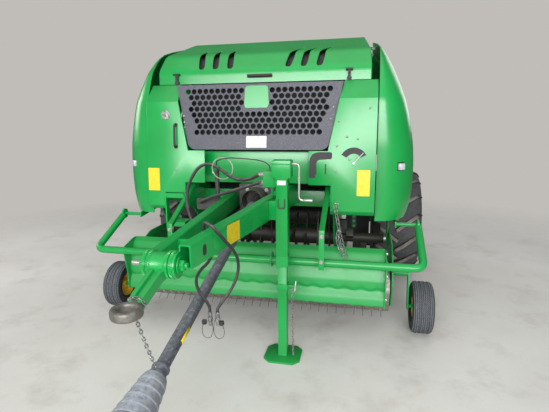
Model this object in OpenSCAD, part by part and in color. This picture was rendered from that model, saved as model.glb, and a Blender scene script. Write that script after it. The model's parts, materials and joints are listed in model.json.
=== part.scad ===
// Fixed-chamber round baler, towed, parked on its jack.
// X is across the machine, Y runs from the hitch (-) to the bale ramp (+), Z is up.
// The origin is on the floor, midway along the machine and across it. Lengths are in millimetres.

/* [Machine] */
// Length from the drive shaft's front yoke to the end of the bale ramp
machine_l = 4500; // [4400:10:4700]
// Height of the hood's rear fold above the floor
hood_top = 2430; // [2400:5:2480]
// Thickness of the sheet panels with their stiffening
panel_t = 12; // [8:1:16]

/* [Bale chamber] */
// Radius of the bale that the rollers form
bale_r = 660; // [640:5:670]
// Clear width between the side walls
chamber_w = 1210; // [1180:10:1230]
// Height of the chamber's centre
chamber_z = 1420; // [1410:5:1440]
// Place of the chamber's centre along the machine
chamber_y = 1220; // [1210:5:1240]
// Radius of one steel roller
roller_r = 108; // [95:1:112]
// Thickness of a side wall
wall_t = 10; // [8:1:14]

/* [Road wheels] */
// Outer diameter of a road tyre over its lugs
wheel_d = 1170; // [1100:5:1190]
// Width of a road tyre
wheel_w = 500; // [420:5:510]
// Distance between the middles of the two road tyres
track = 2400; // [2360:5:2420]
// Place of the axle along the machine
axle_y = 1400; // [1380:5:1420]
// Diameter of the rim where the tyre sits
rim_d = 572; // [540:2:600]
// Height of a tyre lug
lug_h = 30; // [20:1:40]

/* [Pickup] */
// Width between the pickup's side plates
pickup_w = 2170; // [2140:5:2180]
// Radius of the circle of the tine tips
tine_r = 300; // [280:2:302]
// Height of the tined reel's axis
reel_z = 340; // [336:1:350]
// Diameter of a gauge wheel
gauge_d = 410; // [380:2:412]
// Width of a gauge wheel
gauge_w = 165; // [140:5:170]
// Room between a side plate of the pickup and its gauge wheel
gauge_gap = 150.5; // [140:0.5:160]

/* [Feed rotor] */
// Radius of the feed rotor over its tines
rotor_r = 250; // [220:2:252]
// Height of the rotor's axis
rotor_z = 600; // [596:1:604]
// Place of the rotor's axis along the machine
rotor_y = 480; // [476:1:490]

/* [Tongue and jack] */
// Height of the middle of the towing eye
eye_z = 985; // [960:5:1000]
// Radius of the hole in the towing eye
eye_r = 34; // [25:0.5:38]
// Outside width of the jack's outer tube
jack_w = 80; // [76:1:86]
// Place of the jack across the machine
jack_x = 312; // [305:1:318]
// Outer diameter of the drive shaft's guard tube
guard_d = 68; // [60:1:76]

/* [Hidden] */

green = [0.02, 0.52, 0.13];
dark = [0.06, 0.06, 0.07];
steel = [0.62, 0.63, 0.65];
yellow = [0.95, 0.78, 0.05];
$fn = 64;

// Running clearance of a shaft in its bore, and the gap between bodies that move past each other
fit = 0.08;
gap = 6;

// Sheet metal thickness of folded sheets, and of bracket plates
sheet = 5;
plate = 12;

front_y = -machine_l / 2;
rear_y = machine_l / 2;
wheel_r = wheel_d / 2;
half_w = chamber_w / 2;
wall_out = half_w + wall_t;

// Chamber: the outer ring of sheet has flat panels that clear the rollers by a set amount
roller_clear = 10;
ring_in = bale_r + 2 * roller_r + roller_clear;
ring_sides = 12;
ring_vertex = ring_in / cos(180 / ring_sides);
// The gate parts from the front half on this plane, and hangs on a pin above it
split_y = chamber_y - 160;
gate_pin_z = chamber_z + ring_in + sheet + 96;
gate_pin_y = split_y + 10;

// Points on a circle in a plane, from angle a to angle b
function arc(cx, cy, r, a, b, n = 12) =
    [for (i = [0:n]) let (t = a + (b - a) * i / n) [cx + r * cos(t), cy + r * sin(t)]];

// A copy for the left or right of the machine, drawn once for +X
module on_side(s) { mirror([s < 0 ? 1 : 0, 0, 0]) children(); }

// Both sides at once
module both_sides() { for (s = [-1, 1]) on_side(s) children(); }

// An outline in Y and Z, given thickness along X
module prism_x(points, x0, x1) {
    translate([x0, 0, 0]) rotate([90, 0, 90]) linear_extrude(x1 - x0) polygon(points);
}

// An outline in X and Z, given thickness along Y
module prism_y(points, y0, y1) {
    translate([0, y1, 0]) rotate([90, 0, 0]) linear_extrude(y1 - y0) polygon(points);
}

// An outline in X and Y, given height along Z
module prism_z(points, z0, z1) {
    translate([0, 0, z0]) linear_extrude(z1 - z0) polygon(points);
}

// A box from its low corner to its high corner
module block(a, b) { translate(a) cube(b - a); }

// A round bar along X
module bar_x(x0, x1, y, z, r) {
    translate([x0, y, z]) rotate([0, 90, 0]) cylinder(h = x1 - x0, r = r);
}

// A round bar between two points
module rod(a, b, r) {
    d = b - a;
    l = norm(d);
    translate(a) rotate([0, acos(d[2] / l), atan2(d[1], d[0])]) cylinder(h = l, r = r);
}

// A rectangular beam between two points, w wide and h high
module beam(a, b, w, h) {
    d = b - a;
    l = norm(d);
    translate(a) rotate([0, -asin(d[2] / l), atan2(d[1], d[0])]) translate([0, -w / 2, -h / 2])
        cube([l, w, h]);
}

// The chamber's ring as an outline in Y and Z, r is the distance to its flats
function ring_points(r) = [for (i = [0:ring_sides - 1])
    let (a = (i + 0.5) * 360 / ring_sides, v = r / cos(180 / ring_sides))
    [chamber_y + v * cos(a), chamber_z + v * sin(a)]];

// Keeps only what is in front of the split, or only what is behind it
module front_half(margin = 0) {
    intersection() {
        children();
        block([-3000, -3000, 0], [3000, split_y - margin, 3000]);
    }
}
module rear_half(margin = 0) {
    intersection() {
        children();
        block([-3000, split_y + margin, 0], [3000, 3000, 3000]);
    }
}

// Front crossbeam, the main member that tongue, gearbox and pickup hang from
cross_y = [250, 350];
cross_z = [930, 1070];
cross_x = pickup_w / 2 + 15;

// Outline of a front side wall in Y and Z
function wall_front() = [
    [split_y - gap / 2, chamber_z - ring_in - 4], [760, 420], [600, 365], [400, 365], [306, 430],
    [222, 560], [130, 740], [40, 880], [-60, 960], [-178, 960], [-206, 994], [-178, 1420], [-150, 1445],
    [grille_foot[1] + grille_t + 0.4, grille_foot[2]], [grille_top[1] + grille_t + 0.4, grille_top[2]],
    [-20, 1976], [40, 2000], [300, 2120], [600, 2290], [600, 2340], [764, 2340], [hood_pin[0] - 18, 2408],
    [hood_pin[0] + 18, 2408], [818, 2340], [split_y - gap / 2, 2340]
];
// Hood's hinge pin in Y and Z, the shields' in X and Z, and where the shields' hinges sit
hood_pin = [790, 2396];
hood_pin_r = 10;
shield_pin = [872, 2316];
shield_pin_r = 8;
shield_hinges = [640, 980];

module side_wall(s) {
    on_side(s) difference() {
        union() {
            prism_x(wall_front(), half_w, wall_out);
            // Hinge lug of the gate, above the wall's top edge
            prism_x([[split_y - 130, 2340], [split_y - gap / 2, 2340], [gate_pin_y + 30, gate_pin_z - 30],
                [gate_pin_y + 30, gate_pin_z + 30], [gate_pin_y - 30, gate_pin_z + 40],
                [split_y - 130, 2360]], half_w, wall_out);
            // Pins of the gate, the hood and the lift cylinder's barrel
            bar_x(half_w, wall_out + plate + 6, gate_pin_y, gate_pin_z, gate_pin_r);
            bar_x(half_w, wall_out + 34, hood_pin[0], hood_pin[1], hood_pin_r);
            bar_x(half_w, cyl_x + eye_t / 2 + 4, barrel_eye[0], barrel_eye[1], 18);
            bar_x(half_w, cyl_x - eye_t / 2 - 1, barrel_eye[0], barrel_eye[1], 30);
        }
        block([0, cross_y[0], cross_z[0]], [cross_x, cross_y[1], cross_z[1]]);
        bar_x(0, 900, rotor_y, rotor_z, rotor_shaft_r + 8);
    }
}
module side_wall_left() { color(green) side_wall(-1); }
module side_wall_right() { color(green) side_wall(1); }

gate_pin_r = 20;
rotor_shaft_r = 45;

module front_frame() {
    color(green) {
        difference() {
            union() {
                difference() {
                    block([-cross_x, cross_y[0], cross_z[0]], [cross_x, cross_y[1], cross_z[1]]);
                    block([-cross_x - 1, cross_y[0] + 8, cross_z[0] + 8],
                        [cross_x + 1, cross_y[1] - 8, cross_z[1] - 8]);
                }
                // Hangers down to the rotor's axis, where the pickup also pivots
                both_sides() {
                    prism_x([[cross_y[0], cross_z[0]], [cross_y[1], cross_z[0]], [rotor_y + 70, rotor_z],
                        [rotor_y, rotor_z - 70], [rotor_y - 70, rotor_z]], hanger_x - plate, hanger_x);
                    bar_x(hanger_x, pickup_x + plate + 12, rotor_y, rotor_z, pivot_r);
                    // Arms that carry the pivots of the guard bar
                    prism_x([[cross_y[0], cross_z[0]], [cross_y[1], cross_z[0]], [cross_y[1], cross_z[0] - 50],
                        [bar_pivot[0] - 25, bar_pivot[1] - 25], [bar_pivot[0] - 25, bar_pivot[1] + 22],
                        [bar_pivot[0] + 25, bar_pivot[1] + 22]],
                        cross_x, cross_x + plate);
                    block([cross_x, cross_y[0], cross_z[0]], [cross_x + plate, cross_y[1], cross_z[0] + 60]);
                    bar_x(cross_x + plate, bar_x_out + 18, bar_pivot[0], bar_pivot[1], bar_pin_r);
                }
            }
            both_sides() bar_x(0, pickup_x + 40, rotor_y, rotor_z, rotor_shaft_r + fit);
        }
        // Arms out to the shields' hinge pins
        both_sides() for (y = shield_hinges) {
            block([wall_out, y, shield_pin[1] - 12], [shield_pin[0] + 12, y + 20, shield_pin[1] + 12]);
            translate([shield_pin[0], y + 10, shield_pin[1]]) rotate([-90, 0, 0])
                cylinder(h = 28, r = shield_pin_r);
        }
        // Straps in front of the guard bar, from brackets inside the side walls
        both_sides() {
            block([strap_x - 8, -70, 1140], [half_w, -20, gear_z[1]]);
            block([strap_x - 8, strap_y - 10, 640], [strap_x + 30, strap_y, 930]);
            difference() {
                prism_x([[strap_y, 930], [strap_y, 900], [-70, 1150], [-70, 1180]], strap_x - 8, strap_x + 30);
                block([0, strap_y - 10, 640], [900, strap_y, 930]);
            }
        }
    }
}
strap_x = 560;
strap_y = -575;

hanger_x = pickup_w / 2 - gap;
pickup_x = pickup_w / 2;
pivot_r = 55;
// Pivot of the guard bar in Y and Z, its bends, and its tube
bar_pivot = [-50, 870];
bar_bend = [-493, 665];
bar_x_out = pickup_x + 190;
bar_r = 29;
bar_pin_r = 15;

// Front wall of the chamber and the trough under it, in sheet
module front_shell() {
    color(dark) front_half(gap / 2) difference() {
        prism_x(ring_points(ring_in + sheet), -half_w, half_w);
        prism_x(ring_points(ring_in), -half_w - 1, half_w + 1);
        // Open to the rotor at the foot
        prism_x([[chamber_y, chamber_z], [0, 820], [0, 0], [1060, 0]], -half_w - 1, half_w + 1);
    }
}

// Rollers round the bale: angle of each one's axis, counted from the rear
front_rolls = [110, 130, 150, 170, 190, 210, 250];
gate_rolls = [270, 290, 310, 330, 350, 10, 30, 50, 70, 88];
roll_path = bale_r + roller_r;
rib_h = 6;

module roller(angle) {
    y = chamber_y + roll_path * cos(angle);
    z = chamber_z + roll_path * sin(angle);
    bar_x(-half_w, half_w, y, z, roller_r - rib_h);
    for (k = [0:5])
        translate([0, y, z]) rotate([60 * k, 0, 0]) block([-half_w + 15, -9, roller_r - rib_h - 4],
            [half_w - 15, 9, roller_r]);
}
module front_rollers() { color(steel) for (a = front_rolls) roller(a); }
module gate_rollers() { color(steel) for (a = gate_rolls) roller(a); }

// Tongue: each beam is [side, front x, front y, front top z, rear x, rear top z, front h, rear h]
tongue_w = 62;
beams = [
    [1, 100, -1790, 1160, 270, 1165, 112, 190],
    [-1, -92, -1690, 1092, -270, 1092, 92, 150]
];
module tongue_beam(b) {
    // A tapered box, drawn as its side view and turned to its own direction
    dx = b[4] - b[1];
    dy = cross_y[0] - b[2];
    l = norm([dx, dy]);
    translate([b[1], b[2], 0]) rotate([0, 0, atan2(dy, dx)]) rotate([90, 0, 0])
        translate([0, 0, -tongue_w / 2]) linear_extrude(tongue_w)
            polygon([[0, b[3] - b[6]], [l + 40, b[5] - b[7]], [l + 40, b[5]], [0, b[3]]]);
}
module drawbar() {
    color(green) {
        difference() {
            for (b = beams) tongue_beam(b);
            block([-900, cross_y[0], 500], [900, cross_y[1] + 400, 1600]);
            bar_x(-400, 400, pivot_y, pivot_z, head_bolt_r + fit);
            // The head sits between the beams' inner faces
            block([-head_x, pivot_y - 90, 800], [head_x, pivot_y + 90, 1300]);
        }
        // Tie plate between the beams behind the head
        block([-100, -1470, 1045], [118, -1455, 1085]);
    }
}

pivot_y = -1800;
pivot_z = 1072;
head_x = 70;
head_bolt_r = 18;
eye_y = -2090;

// Head with toothed discs, drop beam and towing eye
module hitch() {
    color(green) difference() {
        union() {
            bar_x(-head_x, head_x, pivot_y, pivot_z, 62);
            beam([0, pivot_y - 30, pivot_z - 20], [0, eye_y + 62, eye_z + 2], 74, 50);
            translate([0, eye_y, eye_z - 24]) cylinder(h = 48, r = 62);
        }
        translate([0, eye_y, eye_z - 100]) cylinder(h = 200, r = eye_r);
    }
    color(steel) bar_x(-150, 150, pivot_y, pivot_z, head_bolt_r);
}

// Gear housing on the crossbeam's front face, with its input bell
gear_x = 150;
gear_y = -150;
gear_z = [900, 1180];
shaft_y0 = -300;
shaft_z0 = 1040;
shaft_slope = 15.1;
module gearbox() {
    color(dark) {
        block([-gear_x, gear_y, gear_z[0]], [gear_x, cross_y[0], gear_z[1]]);
        difference() {
            translate([0, gear_y, shaft_z0 + 25]) rotate([90, 0, 0]) cylinder(h = 150, r = 92);
            translate([0, gear_y - 12, shaft_z0 + 25]) rotate([90, 0, 0]) cylinder(h = 150, r = 86);
        }
        difference() {
            on_shaft() translate([0, 0, -180]) cylinder(h = 187.7, r = 28);
            block([-100, gear_y, 900], [100, 400, 1300]);
        }
    }
}

// Drive shaft along its own line, down and forward from the gear housing
module on_shaft() { translate([0, shaft_y0, shaft_z0]) rotate([90 + shaft_slope, 0, 0]) children(); }
yoke_l = 130;
yoke_r = 34;
shaft_l = (-front_y + shaft_y0 - yoke_r * sin(shaft_slope)) / cos(shaft_slope);
yoke_bore_r = 17.5;
cone_l = 200;
guard_wall = 4;
module drive_guard() {
    color(dark) on_shaft() difference() {
        union() {
            translate([0, 0, 30]) cylinder(h = shaft_l - yoke_l - 30, r = guard_d / 2);
            translate([0, 0, shaft_l - yoke_l - cone_l - 60]) cylinder(h = 60, r = guard_d / 2 + 8);
            for (k = [0:4]) translate([0, 0, shaft_l - yoke_l - cone_l + k * 44])
                cylinder(h = 44, r1 = 52 + 6 * k, r2 = 64 + 6 * k);
        }
        translate([0, 0, 60]) cylinder(h = shaft_l, r = guard_d / 2 - guard_wall);
        translate([0, 0, -1]) cylinder(h = shaft_l, r = 24.3);
        translate([0, 0, shaft_l - yoke_l - cone_l + 5]) cylinder(h = cone_l + 40, r = 46);
    }
}
module drive_shaft() {
    color(steel) on_shaft() difference() {
        union() {
            translate([0, 0, 8]) cylinder(h = shaft_l - yoke_l - 8, r = 24);
            translate([0, 0, shaft_l - yoke_l]) cylinder(h = yoke_l, r = yoke_r);
        }
        translate([0, 0, shaft_l - 80]) cylinder(h = 90, r = yoke_bore_r);
    }
}

// Axle: a beam below the chamber, uprights and spindles
axle_beam_z = [345, 455];
stub_r = 45;
hub_face = track / 2 - 40;
module axle() {
    color(green) {
        block([-820, axle_y - 60, axle_beam_z[0]], [820, axle_y + 60, axle_beam_z[1]]);
        both_sides() {
            prism_x([[axle_y - 60, axle_beam_z[1]], [axle_y + 60, axle_beam_z[1]],
                [axle_y + 60, wheel_r + 60], [axle_y - 60, wheel_r + 60]], 700, 820);
            bar_x(820, track / 2 + 14, axle_y, wheel_r, stub_r);
            // Side members forward to the side walls' foot
            block([wall_out, 610, axle_beam_z[0]], [wall_out + 80, axle_y - 60, axle_beam_z[1]]);
            block([wall_out, 700, axle_beam_z[1]], [wall_out + 14, 1040, 640]);
        }
    }
}

// Front panels: sections across the machine in Y and Z
panel_profile = [[-20, 1985], [-155, 1845], [-190, 1420], [-218, 994], [-190, 960]];
grille_top = [675, -100, 1973];
grille_foot = [568, -166, 1459];
panel_inner = 425;
panel_outer = 932;
function shifted(points, dy) = [for (i = [len(points) - 1:-1:0]) [points[i][0] + dy, points[i][1]]];
module front_panels() {
    color(green) for (s = [-1, 1]) on_side(s) difference() {
        prism_x(concat(panel_profile, shifted(panel_profile, panel_t)), panel_inner, panel_outer);
        // The grille's corner, and a notch at the foot
        prism_y([[0, grille_foot[2] - gap], [grille_foot[0] + 2, grille_foot[2] - gap],
            [grille_top[0] + gap + 22, 2100], [0, 2100]], -400, 300);
        block([0, -400, 900], [strap_x + 38, 100, 1190]);
        // The left one makes room for the steps
        if (s < 0) block([0, -400, 900], [788, 100, 1106]);
    }
    // Top rail under the hood, centre panel below the grille
    color(green) {
        block([-half_w, 20, 1900], [half_w, 34, 1960]);
        block([-half_w, -72, gear_z[1]], [half_w, -60, 1440]);
    }
}

grille_t = 8;
hole_pitch = [50, 46.6];
hole_d = 43;
hole_rows = 8;
first_row = 139;
// Drawn flat with its foot on the X axis, then leaned back: outline with round lower corners, rows of holes
module grille() {
    lean = grille_top - [grille_foot[0], 0, 0] - [0, grille_foot[1], grille_foot[2]];
    l = norm([lean[1], lean[2]]);
    side = atan2(lean[0], l);
    corner = 70;
    cx = grille_foot[0] - corner * (1 - sin(side)) / cos(side);
    function half_at(h) = grille_foot[0] + h * tan(side);
    right = concat(arc(cx, corner, corner, -90, -side, 5), [[grille_top[0], l]]);
    left = [for (i = [len(right) - 1:-1:0]) [-right[i][0], right[i][1]]];
    color(dark) translate([0, grille_foot[1], grille_foot[2]]) rotate([atan2(lean[2], lean[1]), 0, 0])
        translate([0, 0, -grille_t]) linear_extrude(grille_t) difference() {
            polygon(concat(right, left));
            for (i = [0:hole_rows - 1], j = [-14:14]) {
                x = (j + (i % 2) / 2) * hole_pitch[0];
                h = first_row + i * hole_pitch[1];
                if (abs(x) < half_at(h) - 84) translate([x, h]) circle(d = hole_d, $fn = 8);
            }
        }
}

// Jack beside the tongue, its leg slides in the outer tube
jack_y = -667;
jack_foot_z = 690;
jack_top = 1310;
leg_w = 62;
jack_wall = (jack_w - leg_w) / 2 - 0.3;
hose_block = [170, -600];
module jack_tube() {
    color(green) {
        difference() {
            block([jack_x - jack_w / 2, jack_y - jack_w / 2, jack_foot_z],
                [jack_x + jack_w / 2, jack_y + jack_w / 2, jack_top]);
            block([jack_x - jack_w / 2 + jack_wall, jack_y - jack_w / 2 + jack_wall, jack_foot_z - 1],
                [jack_x + jack_w / 2 - jack_wall, jack_y + jack_w / 2 - jack_wall, jack_top - 8]);
        }
        block([jack_x - 62, jack_y - 50, jack_top], [jack_x + 62, jack_y + 50, jack_top + 115]);
        // Bracket to the tongue's right beam
        difference() {
            block([jack_x - jack_w / 2 - 60, jack_y - 30, 1020], [jack_x - jack_w / 2, jack_y + 30, 1150]);
            tongue_beam(beams[0]);
        }
        // Block where the oil hoses meet, with a steel pipe down from it
        block([hose_block[0], jack_y + 27, 1235], [jack_x - jack_w / 2, jack_y + 107, 1345]);
        rod([hose_block[0] + 60, jack_y + 47, 1235], [hose_block[0] + 60, jack_y + 47, 1163.2], 8);
    }
}
jack_pin = 90;
module jack_leg() {
    color(green) difference() {
        union() {
            block([jack_x - leg_w / 2, jack_y - leg_w / 2, 14],
                [jack_x + leg_w / 2, jack_y + leg_w / 2, 900]);
            block([jack_x - leg_w / 2 - 8, jack_y - leg_w / 2 - 8, 520],
                [jack_x + leg_w / 2 + 8, jack_y + leg_w / 2 + 8, 560]);
            prism_z([for (q = [[-1, -1], [1, -1], [1, 1], [-1, 1]]) each let (c = [130 * q[0], 120 * q[1]],
                k = q[0] * q[1] > 0 ? [[-45 * q[0], 0], [0, -45 * q[1]]] : [[0, -45 * q[1]], [-45 * q[0], 0]])
                [[jack_x, jack_y] + c + k[1], [jack_x, jack_y] + c + k[0]]], 0, 14);
            bar_x(jack_x - 52, jack_x + jack_pin, jack_y, 540, 6);
        }
        block([jack_x - leg_w / 2 + 6, jack_y - leg_w / 2 + 6, 20],
            [jack_x + leg_w / 2 - 6, jack_y + leg_w / 2 - 6, 1200]);
    }
}
crank_z = jack_top + 90;
crank_y = jack_y;
module jack_crank() {
    color(steel) {
        rod([jack_x + 62.3, crank_y, crank_z], [jack_x + 112, crank_y, crank_z], 9);
        rod([jack_x + 112, crank_y, crank_z + 9], [jack_x + 112, crank_y, crank_z - 250], 8);
        rod([jack_x + 112, crank_y, crank_z - 245], [jack_x + 205, crank_y, crank_z - 245], 8);
    }
}

// Hood between the shields: section in Y and Z, from its front flange to the rear fold
hood_profile = [[-6, 1990], [0, 2098], [130, 2240], [705, hood_top], [790, hood_top]];
hood_front_x = 883;
hood_back_x = 818;
module hood() {
    color(green) difference() {
        union() {
            prism_x(concat(hood_profile, [[790, hood_top - panel_t], [705, hood_top - panel_t],
                [138, 2240 - panel_t], [panel_t, 2094], [panel_t - 6, 1990]]), -hood_front_x, hood_front_x);
            both_sides() prism_x([[hood_pin[0] - 18, hood_pin[1] - 14], [hood_pin[0], hood_pin[1] - 18],
                [hood_pin[0] + 18, hood_pin[1] - 14], [hood_pin[0] + 18, hood_pin[1] + 12],
                [790, hood_top - 4], [hood_pin[0] - 40, hood_top - 4]], wall_out + 6, wall_out + 30);
        }
        both_sides() bar_x(0, 800, hood_pin[0], hood_pin[1], hood_pin_r + fit);
        // Slanted slots in the second face, each [x at its foot, x at its top]
        for (q = [[-498, -491], [-380, -373], [-258, -250], [229, 324], [355, 439], [477, 562]])
            prism_y([[q[0] - 17, 2114], [q[0] + 17, 2114], [q[1] + 17, 2230], [q[1] - 17, 2230]], -50, 250);
        both_sides() prism_z([[hood_front_x, -10], [hood_back_x, 705], [hood_back_x, 800], [1000, 800],
            [1000, -10]], 1900, 2500);
    }
}

// Shields and gate covers share one section across the machine, [x, z] from foot to top
shield_line = [
    [1190, 905], [1238, 1060], [1242, 1350], [1213, 1605], [1162, 1830], [1053, 2120], [985, 2250],
    [900, 2350]
];
shield_edge = panel_outer + 8;
function pulled_in(points, t) = [for (p = points) [p[0] - t, p[1] - t * 0.5]];
function shield_section(t) = concat([[500, shield_line[0][1] - 5 * t]], [[shield_line[0][0] - t,
    shield_line[0][1] - 5 * t]], pulled_in(shield_line, t), [[500, shield_line[7][1] - t * 0.5]]);
// Front edge of a shield in plan, and its outline from the side
function shield_plan(t) = concat([[500, -110 + t], [shield_edge, -110 + t]],
    arc(shield_edge, 200 + t, 310, -90, 0, 8), [[1260, 200 + t], [1260, 3000], [500, 3000]]);
function shield_side(t) = [[-120 + t, 800], [-120 + t, 1500], [-100 + t, 1845], [10 + t, 2090],
    [200 + t, 2250 - t], [500, 2340 - t], [800, 2400 - t], [3000, 2400 - t], [3000, 800]];
module shield_solid(t) {
    intersection() {
        prism_y(shield_section(t), -400, split_y - 12);
        prism_z(shield_plan(t), 700, 2500);
        prism_x(shield_side(t), 500, 1300);
    }
}
module shield(s) {
    on_side(s) difference() {
        union() {
            difference() {
                shield_solid(0);
                intersection() {
                    shield_solid(panel_t);
                    block([500, -1000, 0], [3000, 3000, 3000]);
                }
                block([0, -400, 800], [shield_edge, 3000, 2300]);
                block([0, -400, 800], [895, 3000, 2500]);
                bar_x(600, 1600, axle_y, wheel_r, wheel_r + 80);
            }
            // Hinge plates down to the pins
            for (y = shield_hinges) prism_y([[shield_pin[0] - 12, shield_pin[1] - 14],
                [912, shield_pin[1] - 8], [906, shield_pin[1] + 20], [shield_pin[0] - 12, shield_pin[1] + 14]],
                y + 21, y + 35);
        }
        for (y = shield_hinges) translate([shield_pin[0], y, shield_pin[1]]) rotate([-90, 0, 0])
            cylinder(h = 60, r = shield_pin_r + fit);
    }
}
module shield_left() { color(green) shield(-1); }
module shield_right() { color(green) shield(1); }

// Gate: side walls with their arms up to the hinge pin
module gate_walls() {
    color(green) both_sides() difference() {
        union() {
            rear_half(gap / 2) prism_x(ring_points(ring_in + sheet), half_w, wall_out);
            prism_x([[split_y + gap / 2, 2120], [split_y + 170, 2120], [split_y + 170, 2270],
                [gate_pin_y + 34, gate_pin_z + 20], [gate_pin_y + 12, gate_pin_z + 38],
                [gate_pin_y - 30, gate_pin_z + 20], [gate_pin_y - 34, gate_pin_z - 30]],
                wall_out + 1, wall_out + 1 + plate);
            block([wall_out, split_y + 40, 2130], [wall_out + 1, split_y + 150, 2250]);
            // Lug for the lift cylinder's rod
            prism_x(arc(rod_eye[0], rod_eye[1], 60, 0, 330, 11), wall_out, cyl_x - eye_t / 2 - 0.3);
        }
        bar_x(0, 900, gate_pin_y, gate_pin_z, gate_pin_r + fit);
    }
}
module gate_shell() {
    color(green) rear_half(gap / 2) difference() {
        prism_x(ring_points(ring_in + sheet), -half_w, half_w);
        prism_x(ring_points(ring_in), -half_w - 1, half_w + 1);
    }
}

cover_foot = 1270;
cover_rear = ring_in + chamber_y - 40;
function cover_section(t) = concat([[500, cover_foot - 5 * t], [1242 - t, cover_foot - 5 * t]],
    [for (i = [2:7]) pulled_in(shield_line, t)[i]], [[500, shield_line[7][1] - t * 0.5]]);
function cover_plan(t) = [[500, 900], [1260, 900], [1260 - t, 1500 - t], [1160 - t, 1800 - t],
    [950 - t, cover_rear - 60 - t], [700, cover_rear - t], [500, cover_rear - t]];
function cover_side(t) = [[900, 1000], [900, 2400 - t], [split_y + 12, 2400 - t], [1500 - t, 2330 - t],
    [1850 - t, 2080 - t], [2040 - t, 1700 - t], [2050 - t, 1400 - t], [1960 - t, 1200], [1960 - t, 1000]];
module cover_solid(t) {
    intersection() {
        prism_y(cover_section(t), split_y + 12, 2300);
        prism_z(cover_plan(t), 1000, 2500);
        prism_x(cover_side(t), 500, 1300);
    }
}
module gate_cover(s) {
    on_side(s) difference() {
        cover_solid(0);
        intersection() {
            cover_solid(panel_t);
            block([500, -1000, 0], [3000, 3000, 3000]);
        }
        block([0, 0, 0], [wall_out + 1 + plate + 5, 1800, 3000]);
        block([0, 0, 0], [wall_out, 3000, 3000]);
        block([0, 0, 2260], [895, 1450, 3000]);
        block([0, split_y, 2000], [720, 1800, 3000]);
    }
}
module gate_cover_left() { color(green) gate_cover(-1); }
module gate_cover_right() { color(green) gate_cover(1); }

// Gate cylinders: barrel from the front wall, rod to the gate wall's lug, [y, z]
cyl_x = wall_out + 57;
barrel_eye = [880, 1000];
rod_eye = [1540, 2020];
barrel_r = 34;
barrel_l = 980;
rod_r = 20;
rod_tail = 300;
eye_t = 40;
cyl_angle = atan2(rod_eye[1] - barrel_eye[1], rod_eye[0] - barrel_eye[0]);
cyl_l = norm(rod_eye - barrel_eye);
// Draws a cylinder's piece along its own axis, from the barrel's eye upwards
module on_cylinder(s) {
    on_side(s) translate([cyl_x, barrel_eye[0], barrel_eye[1]]) rotate([cyl_angle - 90, 0, 0])
        children();
}
module barrel(s) {
    color(dark) on_cylinder(s) difference() {
        union() {
            translate([0, 0, 55]) cylinder(h = barrel_l - 55, r = barrel_r);
            rotate([0, 90, 0]) translate([0, 0, -eye_t / 2]) cylinder(h = eye_t, r = 40);
            block([-eye_t / 2, -25, 0], [eye_t / 2, 25, 70]);
        }
        rotate([0, 90, 0]) translate([0, 0, -eye_t]) cylinder(h = 2 * eye_t, r = 18 + fit);
        translate([0, 0, 75]) cylinder(h = barrel_l, r = rod_r + fit);
    }
}
module rod_part(s) {
    color(steel) on_cylinder(s) difference() {
        union() {
            translate([0, 0, rod_tail]) cylinder(h = cyl_l - rod_tail - 20, r = rod_r);
            translate([0, 0, cyl_l]) rotate([0, 90, 0]) translate([0, 0, -eye_t / 2])
                cylinder(h = eye_t, r = 38);
        }
        translate([0, 0, cyl_l]) rotate([0, 90, 0]) translate([0, 0, -eye_t]) cylinder(h = 2 * eye_t, r = 15);
    }
}
module barrel_left() { barrel(-1); }
module barrel_right() { barrel(1); }
module rod_left() { rod_part(-1); }
module rod_right() { rod_part(1); }

// Feed rotor: shaft, stars of tines between the side walls, and an auger on each end
star_pitch = 110;
star_t = 14;
module star(angle) {
    prism_x([for (i = [0:2]) each [
        [rotor_y + 75 * cos(angle + 120 * i - 45), rotor_z + 75 * sin(angle + 120 * i - 45)],
        [rotor_y + rotor_r * cos(angle + 120 * i), rotor_z + rotor_r * sin(angle + 120 * i)],
        [rotor_y + 150 * cos(angle + 120 * i + 14), rotor_z + 150 * sin(angle + 120 * i + 14)]]],
        -star_t / 2, star_t / 2);
}
module rotate_about_rotor(a) { translate([0, rotor_y, rotor_z]) rotate([a, 0, 0]) children(); }
module rotor() {
    color(green) {
        difference() {
            bar_x(-stub_x, stub_x, rotor_y, rotor_z, rotor_shaft_r);
            both_sides() bar_x(stub_x - 60, stub_x + 1, rotor_y, rotor_z, journal_r + fit);
        }
        bar_x(-half_w + 12, half_w - 12, rotor_y, rotor_z, 80);
        for (i = [-5:5]) translate([i * star_pitch, 0, 0]) star(i * 24);
        // Flights that bring the crop in from the sides
        both_sides() for (k = [0:5]) rotate_about_rotor(k * 60) prism_x([[0, 30], [35, 168], [-35, 168], [-22, 30]],
            wall_out + 30 + k * flight_pitch, wall_out + 34 + (k + 1) * flight_pitch);
    }
}
stub_x = pickup_x - 40;
journal_r = 25;
// The flights fill the shaft from the wall to 24 short of the bored end
flight_pitch = (stub_x - 24 - wall_out - 34) / 6;
// Stub axles fixed in the pivot tubes, the rotor's bored ends turn on their journals
module rotor_stubs() {
    color(steel) both_sides() {
        bar_x(stub_x + 0.5, pickup_x + plate, rotor_y, rotor_z, rotor_shaft_r);
        bar_x(stub_x - 50, stub_x + 0.5, rotor_y, rotor_z, journal_r);
    }
}

// Pickup: side plates on the rotor's axis, outline in Y and Z
reel_y = -20;
side_plate = [[rotor_y + 80, rotor_z], [rotor_y, rotor_z + 85], [300, 690], [60, 690], [-120, 630],
    [-215, 520], [-230, 400], [-150, 220], [40, 130], [220, 150], [370, 230], [rotor_y + 40, rotor_z - 80]];
module pickup_frame() {
    color(green) {
        both_sides() difference() {
            prism_x(side_plate, pickup_x, pickup_x + plate);
            bar_x(0, 1300, rotor_y, rotor_z, pivot_r + fit);
            bar_x(0, 1300, reel_y, reel_z, 22 + fit);
        }
        // Cross beam behind the reel
        block([-pickup_x, 292, 262], [pickup_x, 350, 328]);
    }
}

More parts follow.
